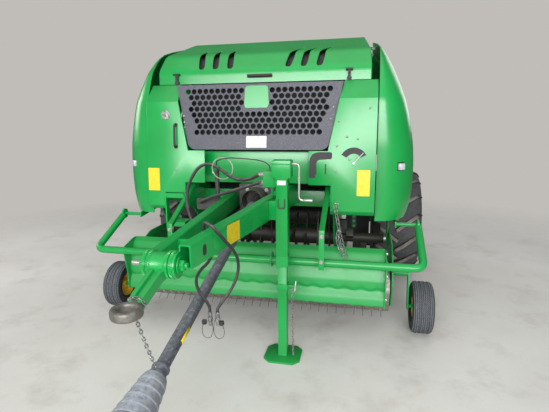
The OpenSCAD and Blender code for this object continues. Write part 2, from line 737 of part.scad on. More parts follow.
// Bands between the tines: an arc round the reel and a tail to the cross beam
tine_pitch = 70;
tine_n = floor((pickup_w - 60) / tine_pitch);
band_w = 50;
band_r = 210;
band_t = 4;
band_tail = [[292, 322], [292, 317]];
function band_outline() = concat(
    arc(reel_y, reel_z, band_r, 250, 60, 14), [band_tail[0], band_tail[1]],
    arc(reel_y, reel_z, band_r - band_t, 60, 250, 14));
module pickup_bands() {
    color(green) for (i = [0:tine_n]) translate([(i - tine_n / 2) * tine_pitch, 0, 0])
        prism_x(band_outline(), -band_w / 2, band_w / 2);
}

// Tined reel: shaft, end discs, bars and their tines
bar_n = 5;
bar_path = 145;
tine_wire = 3.5;
module reel() {
    color(dark) {
        bar_x(-pickup_x - plate, pickup_x + plate, reel_y, reel_z, 22);
        both_sides() bar_x(pickup_x - 14, pickup_x - 6, reel_y, reel_z, 170);
        for (k = [0:bar_n - 1]) translate([0, reel_y, reel_z]) rotate([k * 360 / bar_n, 0, 0]) {
            bar_x(-pickup_x + 6, pickup_x - 6, bar_path, 0, 16);
            for (i = [0:tine_n - 1]) translate([(i - (tine_n - 1) / 2) * tine_pitch, bar_path, 0])
                rotate([-90, 0, 0]) cylinder(h = tine_r - bar_path, r = tine_wire, $fn = 16);
        }
    }
}

// Gauge wheels: an arm down from the side plate, and a spindle
gauge_y = -100;
gauge_z = gauge_d / 2 + 2;
gauge_in = pickup_x + plate + gauge_gap;
gauge_track = 2 * gauge_in + gauge_w;
arm_x = gauge_in - 28;
spindle_r = 15;
module gauge_arms() {
    color(green) both_sides() {
        rod([pickup_x + plate, -60, 470], [arm_x, -60, 470], 24);
        prism_x([[-95, 500], [-25, 500], [-25, 440], [gauge_y + 30, gauge_z - 26], [gauge_y - 30, gauge_z - 26],
            [-100, 440]], arm_x, arm_x + plate);
        bar_x(arm_x + plate, gauge_in + 95, gauge_y, gauge_z, spindle_r);
    }
}

// Wheels are drawn about X at the origin, profiles are [radius, x]
module spun_x(profile) { rotate([0, 90, 0]) rotate_extrude() polygon(profile); }
module ring_x(r0, r1, x0, x1) { spun_x([[r0, x0], [r1, x0], [r1, x1], [r0, x1]]); }
gauge_rim_r = 105;
module at_gauge(s) { on_side(s) translate([gauge_track / 2, gauge_y, gauge_z]) children(); }
module gauge_tyre(s) {
    w = gauge_w / 2;
    r = gauge_d / 2;
    color(dark) at_gauge(s) spun_x([[gauge_rim_r + 0.3, -w + 22], [r - 40, -w],
        for (k = [-1, 1]) each [[r, k * 30 - 20], [r - 7, k * 30], [r, k * 30 + 20]],
        [r - 40, w], [gauge_rim_r + 0.3, w - 22]], $fn = 28);
}
module gauge_rim(s) {
    w = gauge_w / 2;
    color(yellow) at_gauge(s) {
        ring_x(gauge_rim_r - 8, gauge_rim_r, -w + 22, w - 22);
        ring_x(spindle_r + fit, gauge_rim_r - 8, -4, 4);
        ring_x(spindle_r + fit, 34, -44, -4);
        ring_x(spindle_r + fit, 34, 4, 40);
    }
}
module gauge_tyre_left() { gauge_tyre(-1); }
module gauge_tyre_right() { gauge_tyre(1); }
module gauge_rim_left() { gauge_rim(-1); }
module gauge_rim_right() { gauge_rim(1); }

module at_wheel(s) { on_side(s) translate([track / 2, axle_y, wheel_r]) children(); }
rim_r = rim_d / 2;
rim_w = 400;
lug_n = 16;
lug_t = 40;
lug_turn = 36;
// One slanted lug, a side view [along the run, radius] given a thickness
module tyre_lug() {
    r = wheel_r;
    end = (wheel_w / 2 - 2) / cos(lug_turn);
    translate([-10, 0, 0]) rotate([0, 0, lug_turn])
        prism_y([[0, r - lug_h - 30], [end, r - 118], [end - 52, r - 58], [0.37 * end, r - 10],
            [0, r - 0.4]], -lug_t / 2, lug_t / 2);
}
module tyre(s) {
    w = wheel_w / 2;
    r = wheel_r - lug_h;
    color(dark) at_wheel(s) {
        spun_x([[rim_r + 0.3, -rim_w / 2], [r - 120, -w + 2], [r - 40, -w + 26], [r - 8, -w + 100],
            [r - 8, w - 100], [r - 40, w - 26], [r - 120, w - 2], [rim_r + 0.3, rim_w / 2]], $fn = 36);
        for (k = [0:lug_n - 1], side = [0, 1])
            rotate([(k + side / 2) * 360 / lug_n, 0, 0]) mirror([side, 0, 0]) tyre_lug();
    }
}
module rim(s) {
    color(yellow) at_wheel(s) {
        ring_x(rim_r - 14, rim_r, -rim_w / 2, rim_w / 2);
        ring_x(150, rim_r - 14, 6, 20);
        ring_x(stub_r + fit, 150, -10, 20);
        ring_x(stub_r + fit, 90, -60, -10);
        spun_x([[0, 16], [stub_r + fit, 16], [stub_r + fit, 20], [70, 20], [62, 52], [0, 52]]);
    }
}
module tyre_left() { tyre(-1); }
module tyre_right() { tyre(1); }
module rim_left() { rim(-1); }
module rim_right() { rim(1); }

// Guard bar: a tube across the front, bent back to its pivots
bar_back = [-84, 854];
module guard_bar() {
    color(green) {
        bar_x(-bar_x_out, bar_x_out, bar_bend[0], bar_bend[1], bar_r);
        both_sides() {
            translate([bar_x_out, bar_bend[0], bar_bend[1]]) sphere(r = bar_r);
            rod([bar_x_out, bar_bend[0], bar_bend[1]], [bar_x_out, bar_back[0], bar_back[1]], bar_r);
            difference() {
                prism_x(arc(bar_pivot[0], bar_pivot[1], 44, 0, 330, 11), bar_x_out - 7, bar_x_out + 7);
                bar_x(0, 2000, bar_pivot[0], bar_pivot[1], bar_pin_r + fit);
            }
        }
    }
}

// Windguard: a folded sheet under the bar, [y, z] down its front, with a bracket at each end
guard_x = pickup_x - 65;
guard_line = [[-300, 735], [-352, 712], [-400, 610], [-432, 520], [-436, 470], [-424, 450], [-452, 395],
    [-462, 340], [-440, 332]];
function thickened(points, t) = concat(points, [for (i = [len(points) - 1:-1:0])
    [points[i][0] + t, points[i][1] + t * 0.4]]);
module windguard() {
    color(green) {
        prism_x(thickened(guard_line, sheet), -guard_x, guard_x);
        both_sides() difference() {
            union() {
                prism_x([[-500, 700], [-360, 735], [-300, 735], [-352, 640], [-400, 470], [-436, 345], [-470, 330],
                    [-475, 480], [-505, 620]], guard_x, guard_x + 8);
                prism_x(concat(arc(bar_bend[0], bar_bend[1], 62, 40, 300, 8), [[-395, 610], [-352, 712]]), 192, 200);
            }
            bar_x(0, 2000, bar_bend[0], bar_bend[1], bar_r + fit);
        }
    }
}

// Bale ramp behind the axle, a tube frame that the bale rolls down
module bale_ramp() {
    color(green) {
        difference() {
            both_sides() {
                rod([420, axle_y + 40, 402], [420, rear_y - 20, 250], 20);
                rod([150, axle_y + 40, 402], [150, rear_y - 20, 250], 20);
            }
            block([-820, axle_y - 60, axle_beam_z[0]], [820, axle_y + 60, axle_beam_z[1]]);
        }
        bar_x(-440, 440, rear_y - 20, 250, 20);
    }
}

// Front marker lamps on the shields, rear lamp boards on the gate walls
lamp_place = [1117, -52, 1329];
module lamp(s) {
    color("white") on_side(s) difference() {
        translate(lamp_place) rotate([0, 0, 36]) block([-26, -32, -26], [26, 30, 26]);
        shield_solid(0);
    }
}
module lamp_left() { lamp(-1); }
module lamp_right() { lamp(1); }

module rear_lamps() {
    color("red") both_sides() {
        block([wall_out, 1900, 1130], [930, 1912, 1240]);
        block([720, 1912, 1140], [920, 1952, 1230]);
    }
}

// Steps to the net box on the left
module steps() {
    color(green) {
        prism_x([[-212, 762], [-152, 786], [-152, 1106], [-212, 1106]], -788, -776);
        block([-776, -212, 1056], [-wall_out, -60, 1096]);
        block([-776, -212, 830], [-wall_out, -60, 850]);
    }
}

// Post beside the tongue's left beam, with the plate and the ring that lead the hoses
post = [-264.5, -350];
module hose_post() {
    color(green) {
        translate([post[0], post[1], 985]) cylinder(h = 330, r = 17);
        difference() {
            block([post[0] - 17, post[1] - 20, 990], [post[0] + 40, post[1] + 20, 1050]);
            tongue_beam(beams[1]);
        }
        block([-440, post[1] - 6, 1000], [post[0], post[1] + 6, 1090]);
    }
    color(steel) {
        rod([post[0], post[1], 1306], [post[0], post[1] - 95, 1306], 5);
        translate([-186, post[1] - 95, 1338]) rotate([90, 0, 0]) rotate_extrude($fn = 32)
            translate([80, 0]) circle(r = 4, $fn = 12);
    }
}

// Hoses and cables: a tube along a smooth line through points that were chosen by hand
function bend(p, i, t) =
    let (a = p[max(i - 1, 0)], b = p[i], c = p[i + 1], d = p[min(i + 2, len(p) - 1)])
    0.5 * (2 * b + (c - a) * t + (2 * a - 5 * b + 4 * c - d) * t * t + (3 * b - a - 3 * c + d) * t * t * t);
function smooth(p, k) = [for (i = [0:len(p) - 2], j = [0:k - 1]) bend(p, i, j / k), p[len(p) - 1]];
function along(p, i) = let (d = p[min(i + 1, len(p) - 1)] - p[max(i - 1, 0)]) d / norm(d);
// A direction across the line, carried along it without twist
function across(p, i, u) = i >= len(p) ? [] :
    let (t = along(p, i), w = u - (u * t) * t, v = w / norm(w)) concat([v], across(p, i + 1, v));
module tube(path, r, sides = 8) {
    u = across(path, 0, [0.13, 0.5, 0.86]);
    n = len(path);
    points = [for (i = [0:n - 1]) let (v = cross(along(path, i), u[i])) for (k = [0:sides - 1])
        let (a = 360 * k / sides) path[i] + r * (cos(a) * u[i] + sin(a) * v)];
    faces = concat([[for (k = [0:sides - 1]) k]],
        [for (i = [0:n - 2], k = [0:sides - 1]) let (m = (k + 1) % sides)
            [i * sides + k, (i + 1) * sides + k, (i + 1) * sides + m, i * sides + m]],
        [[for (k = [sides - 1:-1:0]) (n - 1) * sides + k]]);
    polyhedron(points, faces, convexity = 6);
}
thick_hose = 26;
thin_hose = 16;
cable = 8;
// From the block by the jack, round the post to the left, down and under the left beam
hose_loop_line = [
    [169.2, -600, 1318], [130, -597, 1313], [50, -560, 1278], [-40, -515, 1266], [-130, -465, 1288],
    [-225, -420, 1335], [-312, -395, 1362], [-390, -385, 1340], [-452, -385, 1268], [-492, -390, 1180],
    [-503, -400, 1090], [-488, -420, 1005], [-455, -440, 920], [-432, -455, 845], [-392, -465, 785],
    [-335, -475, 755], [-276, -482, 768], [-232, -488, 815], [-214, -490, 878], [-212, -490, 962.8]
];
module hose_loop() { color(dark) tube(smooth(hose_loop_line, 2), thick_hose / 2); }
// From the same block down to the plate on the post
hose_drop_line = [
    [169.2, -600, 1262], [130, -599, 1258], [40, -580, 1228], [-50, -550, 1196], [-140, -512, 1166],
    [-230, -470, 1136], [-305, -440, 1108], [-364, -412, 1082], [-396, -378, 1063], [-398, -358.2, 1060]
];
module hose_drop() { color(dark) tube(smooth(hose_drop_line, 2), thick_hose / 2); }
// Two hoses below the right beam's front end, which hang to their couplers
hose_left_line = [
    [112, -1500, 1036], [106, -1500, 1008], [82, -1496, 972], [48, -1490, 938], [22, -1482, 900],
    [12, -1476, 860], [18, -1470, 820], [36, -1464, 782], [57, -1456, 746], [69, -1450.4, 714],
    [70, -1450, 690.6]
];
module hose_left() { color(dark) tube(smooth(hose_left_line, 2), thin_hose / 2); }
hose_right_line = [
    [60, -1462, 1086], [62, -1468, 1125], [72, -1490, 1165], [94, -1525, 1192], [124, -1556, 1194],
    [152, -1566, 1180], [172, -1552, 1150], [182, -1515, 1112], [190, -1465, 1070], [198, -1412, 1022],
    [204, -1370, 966], [202, -1352, 905], [190, -1362, 845], [168, -1388, 795], [140, -1418, 752],
    [119, -1438, 722], [111, -1445.5, 706], [110, -1446, 690.6]
];
module hose_right() { color(dark) tube(smooth(hose_right_line, 2), thin_hose / 2); }
signal_cable_line = [
    [205, -580, 1345.8], [203, -579, 1372], [172, -572, 1398], [120, -562, 1412], [50, -545, 1418],
    [-30, -520, 1420], [-105, -492, 1420], [-165, -462, 1412], [-212, -434, 1400], [-240, -408, 1386],
    [-254, -385, 1362], [-254, -374, 1330], [-252, -368, 1300], [-252, -367.2, 1270]
];
module signal_cable() { color(dark) tube(smooth(signal_cable_line, 2), cable / 2); }
module couplers() {
    color(steel) for (line = [hose_left_line, hose_right_line])
        let (end = line[len(line) - 1]) translate([end[0], end[1], 690]) {
            translate([0, 0, -34]) cylinder(h = 34, r = 11, $fn = 24);
            translate([0, 0, -52]) cylinder(h = 18, r = 14, $fn = 24);
            translate([0, 0, -78]) cylinder(h = 26, r = 9, $fn = 24);
        }
}

// Chains: flat-sided links on a straight line, every other one turned
function stadium(l, w) = concat(arc(l, 0, w, -90, 90, 2), arc(-l, 0, w, 90, 270, 2));
module chain(a, b, n, wire) {
    pitch = norm(b - a) / n;
    l = pitch / 2;
    for (i = [0:n - 1]) translate(a + (b - a) * (i + 0.5) / n)
        rotate([0, acos((b - a)[2] / norm(b - a)) - 90, atan2((b - a)[1], (b - a)[0])]) rotate([90 * (i % 2), 0, 0])
            translate([0, 0, -wire / 2]) linear_extrude(wire) difference() {
                polygon(stadium(l - wire * 0.25, wire * 1.65));
                polygon(stadium(l - wire * 0.25, wire * 0.62));
            }
}
// Its foot rests on the guard's collar, just behind the cone
collar_y = shaft_y0 - (shaft_l - yoke_l - cone_l) * cos(shaft_slope) + 5.5;
collar_z = shaft_z0 + (collar_y - shaft_y0) * tan(shaft_slope) + 51.3;
module hitch_chain() { color(steel) chain([0, -2040, 952], [0, collar_y, collar_z], 8, 5); }

side_wall_left();
side_wall_right();
front_frame();
front_shell();
front_rollers();
drawbar();
hitch();
gearbox();
axle();
front_panels();
grille();
jack_tube();
jack_leg();
jack_crank();
drive_guard();
drive_shaft();
hood();
shield_left();
shield_right();
gate_walls();
gate_shell();
gate_rollers();
gate_cover_left();
gate_cover_right();
barrel_left();
barrel_right();
rod_left();
rod_right();
rotor();
rotor_stubs();
pickup_frame();
pickup_bands();
reel();
gauge_arms();
windguard();
guard_bar();
gauge_tyre_left();
gauge_tyre_right();
gauge_rim_left();
gauge_rim_right();
tyre_left();
tyre_right();
rim_left();
rim_right();
bale_ramp();
lamp_left();
lamp_right();
rear_lamps();
steps();
hose_post();
hose_loop();
hose_drop();
hose_left();
hose_right();
signal_cable();
couplers();
hitch_chain();
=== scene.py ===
"""A towed round baler with a fixed chamber, parked on its jack: its finish and its fine pieces.

X is across the machine, Y runs from the towing eye to the bale ramp, Z is up, in metres.
"""

import json
import math

import bmesh
import bpy
from mathutils import Matrix, Vector

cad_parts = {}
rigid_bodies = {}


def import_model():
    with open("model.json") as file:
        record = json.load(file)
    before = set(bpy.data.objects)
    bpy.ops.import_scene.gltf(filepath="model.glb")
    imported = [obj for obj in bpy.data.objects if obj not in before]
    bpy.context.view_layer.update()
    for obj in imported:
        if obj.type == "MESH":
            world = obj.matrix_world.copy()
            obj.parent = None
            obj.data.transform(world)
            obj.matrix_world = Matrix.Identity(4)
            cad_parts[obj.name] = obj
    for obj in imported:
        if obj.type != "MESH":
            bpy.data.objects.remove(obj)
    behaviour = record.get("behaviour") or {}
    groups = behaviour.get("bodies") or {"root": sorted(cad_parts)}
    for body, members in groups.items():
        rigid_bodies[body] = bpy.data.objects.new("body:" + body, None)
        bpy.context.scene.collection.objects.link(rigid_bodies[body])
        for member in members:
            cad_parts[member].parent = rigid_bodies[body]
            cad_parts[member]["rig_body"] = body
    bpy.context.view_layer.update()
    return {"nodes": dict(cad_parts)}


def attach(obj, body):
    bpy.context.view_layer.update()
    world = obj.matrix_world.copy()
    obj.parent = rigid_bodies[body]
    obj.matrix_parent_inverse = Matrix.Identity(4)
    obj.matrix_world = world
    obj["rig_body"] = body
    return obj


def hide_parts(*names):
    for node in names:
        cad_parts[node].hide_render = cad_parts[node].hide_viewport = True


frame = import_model()
nodes = frame["nodes"]
left_right = ((-1, "left"), (1, "right"))


def linked(name, data):
    """A new object in the scene."""
    obj = bpy.data.objects.new(name, data)
    bpy.context.scene.collection.objects.link(obj)
    return obj


# The camera stands ahead of the machine and to the right of the tongue, with its lens 1.67 m above the floor.
# Its lens and its three angles are those of the photograph.
camera_data = bpy.data.cameras.new("camera")
camera_data.sensor_width = 36
camera_data.lens = 26.92
camera_data.clip_end = 200
camera = linked("camera", camera_data)
to_the_left = math.radians(12.12)
downwards = math.radians(11.41)
rolled = math.radians(-0.48)
camera.matrix_world = (Matrix.Translation((0.832, -3.351, 1.665)) @ Matrix.Rotation(to_the_left, 4, "Z")
    @ Matrix.Rotation(math.pi / 2 - downwards, 4, "X") @ Matrix.Rotation(rolled, 4, "Z"))
bpy.context.scene.camera = camera
bpy.context.scene.view_settings.view_transform = "Standard"


# The oil hoses are rubber under a ribbed sleeve, 26 mm thick. They run from the block by the jack, one in a
# loop round the post on the tongue and under it, the other down to the plate on that post. Two thinner hoses
# hang from the tongue's right beam to their couplers, and a cable runs over the loop to the post.
def shade(red, green, blue):
    """A colour written as it shows on a screen, 0 to 255, as the shader takes it."""
    line = [(c / 255 / 12.92) if c < 10 else (((c / 255) + 0.055) / 1.055) ** 2.4 for c in (red, green, blue)]
    return (*line, 1.0)


class Wire:
    """An output of a node, so that a sum of outputs is written as a sum."""

    def __init__(self, tree, socket):
        self.tree = tree
        self.socket = socket

    def math(self, operation, other=0.0):
        return self.tree.node("ShaderNodeMath", {0: self, 1: other}, operation=operation)

    def __add__(self, other):
        return self.math("ADD", other)

    def __sub__(self, other):
        return self.math("SUBTRACT", other)

    def __rsub__(self, other):
        return self * -1 + other

    def __mul__(self, other):
        return self.math("MULTIPLY", other)

    def __truediv__(self, other):
        return self.math("DIVIDE", other)

    def __pow__(self, other):
        return self.math("POWER", other)

    __radd__ = __add__
    __rmul__ = __mul__

    def clamped(self):
        return self.tree.node("ShaderNodeClamp", {0: self})

    def over(self, limit, softness):
        """0 below the limit, 1 above it, with a soft step between."""
        return ((self - limit) / softness + 0.5).clamped()


class Tree:
    """A node tree under way: its nodes come from node(), and end() finishes it."""

    def __init__(self, tree):
        self.tree = tree
        tree.nodes.clear()

    def node(self, kind, values=None, output=0, **settings):
        made = self.tree.nodes.new(kind)
        for key, value in settings.items():
            setattr(made, key, value)
        for key, value in (values or {}).items():
            self.join(value, made.inputs[key])
        return Wire(self, made.outputs[output])

    def join(self, value, socket):
        if isinstance(value, Wire):
            self.tree.links.new(value.socket, socket)
        else:
            socket.default_value = value

    def end(self, kind, wire):
        self.join(wire, self.tree.nodes.new(kind).inputs[0])


class Finish(Tree):
    """A material under way, which surface() ends."""

    def __init__(self, name):
        self.material = bpy.data.materials.new(name)
        self.material.use_nodes = True
        super().__init__(self.material.node_tree)
        self.place = self.node("ShaderNodeTexCoord", output="Object")
        self.facing = self.node("ShaderNodeTexCoord", output="Normal")

    def noise(self, scale, detail=3.0, roughness=0.55, place=None):
        values = {"Vector": place or self.place, "Scale": scale, "Detail": detail, "Roughness": roughness}
        return self.node("ShaderNodeTexNoise", values)

    def stretched(self, x, y, z):
        """The place on the piece with each axis made finer or coarser, for a grain that has a direction."""
        return self.node("ShaderNodeMapping", {"Vector": self.place, "Scale": (x, y, z)})

    def part(self, axis, source=None):
        return self.node("ShaderNodeSeparateXYZ", {0: source or self.place}, axis)

    def mixed(self, one, other, share):
        """A share of the other colour in the one. Each is a wire, or red, green and blue as in shade()."""
        one, other = [colour if isinstance(colour, Wire) else shade(*colour) for colour in (one, other)]
        return self.node("ShaderNodeMix", {0: share, 6: one, 7: other}, 2, data_type="RGBA")

    def bumped(self, height, distance):
        return self.node("ShaderNodeBump", {"Height": height, "Distance": distance})

    def surface(self, colour, **sockets):
        values = {key.replace("_", " ").title(): value for key, value in sockets.items()}
        self.end("ShaderNodeOutputMaterial", self.node("ShaderNodeBsdfPrincipled",
            {"Base Color": colour, **values}))
        return self.material


def curve_through(points, steps):
    """A smooth line through the points, the same one that the solids follow."""
    points = [Vector(p) for p in points]
    line = []
    for i in range(len(points) - 1):
        a, b, c = points[max(i - 1, 0)], points[i], points[i + 1]
        d = points[min(i + 2, len(points) - 1)]
        for j in range(steps):
            t = j / steps
            line.append(0.5 * (2 * b + (c - a) * t + (2 * a - 5 * b + 4 * c - d) * t**2
                + (3 * b - a - 3 * c + d) * t**3))
    return line + [points[-1]]


def skin(rings, capped=True):
    """Corners and faces of a skin over rings that each have as many corners."""
    count = len(rings[0])
    corners = [Vector(corner) for row in rings for corner in row]
    faces = []
    for i in range(len(rings) - 1):
        for k in range(count):
            m = (k + 1) % count
            faces.append([i * count + k, i * count + m, (i + 1) * count + m, (i + 1) * count + k])
    if capped:
        faces.append(list(range(count))[::-1])
        faces.append([(len(rings) - 1) * count + k for k in range(count)])
    return corners, faces


def turns(count):
    """The angles of a full turn in equal steps."""
    return [2 * math.pi * k / count for k in range(count)]


def ring(middle, radius, across, third, sides):
    """Corners round a middle, in the plane of the ways across and third."""
    return [middle + radius * (math.cos(a) * across + math.sin(a) * third) for a in turns(sides)]


def pipe(line, radius, sides=12):
    """A closed tube along a line. radius is a number, or a function of the way along."""
    line = [Vector(p) for p in line]
    across = Vector((0.13, 0.5, 0.86))
    rings, gone = [], 0.0
    for i, point in enumerate(line):
        along = (line[min(i + 1, len(line) - 1)] - line[max(i - 1, 0)]).normalized()
        across = (across - along * across.dot(along)).normalized()
        third = along.cross(across)
        if i:
            gone += (point - line[i - 1]).length
        r = radius(gone) if callable(radius) else radius
        rings.append(ring(point, r, across, third, sides))
    return skin(rings)


def smooth_but(obj, angle):
    """Shades an object smooth but for edges sharper than the angle."""
    for polygon in obj.data.polygons:
        polygon.use_smooth = True
    obj.data.set_sharp_from_angle(angle=math.radians(angle))


def faced(mesh, merge=None):
    """Turns a mesh's faces outwards. Corners as near as the merge distance become one."""
    work = bmesh.new()
    work.from_mesh(mesh)
    if merge:
        bmesh.ops.remove_doubles(work, verts=work.verts, dist=merge)
    bmesh.ops.recalc_face_normals(work, faces=work.faces)
    work.to_mesh(mesh)
    work.free()


def mesh_of(name, corners, faces=()):
    mesh = bpy.data.meshes.new(name)
    mesh.from_pydata([tuple(corner) for corner in corners], [], faces)
    return mesh


def piece_of(name, shape, material, angle=35):
    """A new object from corners and faces, smooth but for edges sharper than the angle."""
    mesh = mesh_of(name, *shape)
    mesh.validate()
    faced(mesh, 0.000002)
    mesh.materials.append(material)
    obj = linked(name, mesh)
    smooth_but(obj, angle)
    return obj


def belongs(obj, body, slot, *stood_for):
    """Puts a finished piece on its body and hides the nodes that it stands for. The slot is not used."""
    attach(obj, body)
    if stood_for:
        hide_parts(*stood_for)
    return obj


def fixed(name, shape, material, body, slot, *stood_for, angle=35):
    """A whole piece from corners and faces, on its body."""
    return belongs(piece_of(name, shape, material, angle), body, slot, *stood_for)


finish = Finish("sleeve_rubber")
dust = finish.noise(30, 5).over(0.52, 0.35)
upward = finish.part("Z", finish.facing).over(0.35, 0.9)
colour = finish.mixed((38, 36, 38), (128, 116, 112), dust * upward * 0.75)
rubber = finish.surface(colour, roughness=0.62 + dust * 0.2,
    normal=finish.bumped(finish.noise(400, 2), 0.0006))
thick_hose, thin_hose, cable = 0.026, 0.016, 0.008
rib_pitch = 0.011
hose_loop_line = [(0.1692, -0.6, 1.318), (0.13, -0.597, 1.313), (0.05, -0.56, 1.278), (-0.04, -0.515, 1.266),
    (-0.13, -0.465, 1.288), (-0.225, -0.42, 1.335), (-0.312, -0.395, 1.362), (-0.39, -0.385, 1.34),
    (-0.452, -0.385, 1.268), (-0.492, -0.39, 1.18), (-0.503, -0.4, 1.09), (-0.488, -0.42, 1.005),
    (-0.455, -0.44, 0.92), (-0.432, -0.455, 0.845), (-0.392, -0.465, 0.785), (-0.335, -0.475, 0.755),
    (-0.276, -0.482, 0.768), (-0.232, -0.488, 0.815), (-0.214, -0.49, 0.878), (-0.212, -0.49, 0.9628),]
hose_drop_line = [(0.1692, -0.6, 1.262), (0.13, -0.599, 1.258), (0.04, -0.58, 1.228), (-0.05, -0.55, 1.196),
    (-0.14, -0.512, 1.166), (-0.23, -0.47, 1.136), (-0.305, -0.44, 1.108), (-0.364, -0.412, 1.082),
    (-0.396, -0.378, 1.063), (-0.398, -0.3582, 1.06),]
hose_left_line = [(0.112, -1.5, 1.036), (0.106, -1.5, 1.008), (0.082, -1.496, 0.972), (0.048, -1.49, 0.938),
    (0.022, -1.482, 0.9), (0.012, -1.476, 0.86), (0.018, -1.47, 0.82), (0.036, -1.464, 0.782),
    (0.057, -1.456, 0.746), (0.069, -1.4504, 0.714), (0.07, -1.45, 0.6906),]
hose_right_line = [(0.06, -1.462, 1.086), (0.062, -1.468, 1.125), (0.072, -1.49, 1.165),
    (0.094, -1.525, 1.192), (0.124, -1.556, 1.194), (0.152, -1.566, 1.18), (0.172, -1.552, 1.15),
    (0.182, -1.515, 1.112), (0.19, -1.465, 1.07), (0.198, -1.412, 1.022), (0.204, -1.37, 0.966),
    (0.202, -1.352, 0.905), (0.19, -1.362, 0.845), (0.168, -1.388, 0.795), (0.14, -1.418, 0.752),
    (0.119, -1.438, 0.722), (0.111, -1.4455, 0.706), (0.11, -1.446, 0.6906),]
signal_cable_line = [(0.205, -0.58, 1.3458), (0.203, -0.579, 1.372), (0.172, -0.572, 1.398),
    (0.12, -0.562, 1.412), (0.05, -0.545, 1.418), (-0.03, -0.52, 1.42), (-0.105, -0.492, 1.42),
    (-0.165, -0.462, 1.412), (-0.212, -0.434, 1.4), (-0.24, -0.408, 1.386), (-0.254, -0.385, 1.362),
    (-0.254, -0.374, 1.33), (-0.252, -0.368, 1.3), (-0.252, -0.3672, 1.27),]


def length_of(line):
    return sum((Vector(b) - Vector(a)).length for a, b in zip(line, line[1:]))


def hose(name, points, diameter, ribbed):
    line = curve_through(points, 24 if ribbed else 8)
    radius = diameter / 2
    if ribbed:
        def radius(gone):
            return diameter / 2 - 0.0009 + 0.0009 * math.cos(2 * math.pi * gone / rib_pitch)
    obj = fixed(name + "_rubber", pipe(line, radius, 14), rubber, "chassis", "hose_rubber", name, angle=60)


# The couplers are zinc-plated steel: a hexagon, a sliding sleeve with a groove, and the plug below. Each has
# its rubber dust cap on a loop of wire.
def turned(profile, start=(0, 0, 0), along=(0, 0, 1), sides=32, capped=True):
    """A shape turned about a line: profile is (distance along it, radius) from one end to the other."""
    start, along = Vector(start), Vector(along).normalized()
    side = along.orthogonal().normalized()
    third = along.cross(side)
    return skin([ring(start + along * d, r, side, third, sides) for d, r in profile], capped)


def hoop(profile, start, along, sides=32):
    """A closed outline turned about a line, with a hole along the line."""
    return turned([*profile, profile[0]], start, along, sides, False)


def rounded(points, reach, steps=4, closed=False):
    """A line with each corner swapped for a short bend, which starts at this reach from the corner."""
    size = len(points[0])
    points = [Vector((*p, 0)[:3]) for p in points]
    count, line = len(points), []
    for i, corner in enumerate(points):
        if not closed and i in (0, count - 1):
            line.append(corner)
            continue
        before, after = points[i - 1] - corner, points[(i + 1) % count] - corner
        near = min(reach, before.length * 0.48, after.length * 0.48)
        a, b = corner + before.normalized() * near, corner + after.normalized() * near
        for j in range(steps + 1):
            t = j / steps
            line.append(a.lerp(corner, t).lerp(corner.lerp(b, t), t))
    return [tuple(p)[:size] for p in line]


def rectangle(x0, y0, x1, y1, corner=0.004, steps=3):
    return rounded([(x0, y0), (x1, y0), (x1, y1), (x0, y1)], corner, steps, True)


def joined(*shapes):
    corners, faces = [], []
    for more_corners, more_faces in shapes:
        start = len(corners)
        corners += more_corners
        faces += [[start + i for i in face] for face in more_faces]
    return corners, faces


def soiled(name, clean, dirty, noise, step, share, roughness, bumps, depth, metallic=None, stretch=None,
        **more):
    """A colour with patches of another. roughness and metallic are (on the clean, more on the patches)."""
    finish = Finish(name)
    patches = finish.noise(*noise).over(*step)
    place = finish.stretched(*stretch) if stretch else None
    relief = finish.noise(*bumps, place=place) if bumps else patches
    if metallic:
        more["metallic"] = metallic[0] + patches * metallic[1]
    return finish.surface(finish.mixed(clean, dirty, patches * share), normal=finish.bumped(relief, depth),
        roughness=roughness[0] + patches * roughness[1], **more)


plated = soiled("zinc", (176, 174, 168), (112, 96, 80), (45, 5, 0.7), (0.58, 0.25), 0.7, (0.34, 0.35),
    (120, 3, 0.6), 0.0004, (0.9, -0.6), (1, 1, 5))
dull_zinc = soiled("weathered_zinc", (176, 176, 172), (58, 56, 54), (120, 5, 0.7), (0.5, 0.2), 1.0,
    (0.35, 0.4), None, 0.0004, (0.8, -0.6))
coupler_profile = rounded([(0, 0.0075), (0.001, 0.011), (0.014, 0.011), (0.015, 0.0095), (0.018, 0.0095),
    (0.019, 0.011), (0.034, 0.011), (0.0345, 0.014), (0.041, 0.014), (0.042, 0.0125), (0.045, 0.0125),
    (0.046, 0.014), (0.052, 0.014), (0.053, 0.009), (0.075, 0.009), (0.078, 0.006)], 0.0006, 2)
coupler_top = 0.69
couplers, dust_caps = [], []
for (side, name), (x, y, z) in zip(left_right, (hose_left_line[-1], hose_right_line[-1])):
    couplers.append(fixed("coupler_" + name, turned(coupler_profile, (x, y, coupler_top), (0, 0, -1), 28),
        dull_zinc, "chassis", "bare_steel", "couplers", angle=40))
    lanyard = curve_through([(x + side * across, y - forward, height) for across, forward, height in (
        (-0.004, 0.009, 0.664), (-0.014, 0.013, 0.64), (-0.019, 0.016, 0.595), (-0.008, 0.018, 0.558),
        (0.016, 0.018, 0.548), (0.037, 0.018, 0.566), (0.04, 0.018, 0.602), (0.03, 0.017, 0.629))], 6)
    collar_line = [(-0.0015, 0.0092), (0.0015, 0.0092), (0.0015, 0.0118), (-0.0015, 0.0118)]
    dust_caps += [pipe(lanyard, 0.0016, 8), hoop(collar_line, (x, y, 0.6665), (0, 0, 1), 20),
        turned([(0, 0.012), (0.002, 0.0135), (0.018, 0.0135), (0.022, 0.01)],
        (x + side * 0.026, y - 0.016, 0.648), (0.1 * side, 0, -1), 20)]
fitting_line = [(0.0, 0.013), (0.0, 0.019), (0.013, 0.019), (0.014, 0.0158), (0.034, 0.0156), (0.037, 0.0138)]
fittings = [turned(fitting_line, line[0], (-1, 0.12, -0.07), corners)
    for line, corners in ((hose_loop_line, 20), (hose_drop_line, 6))]
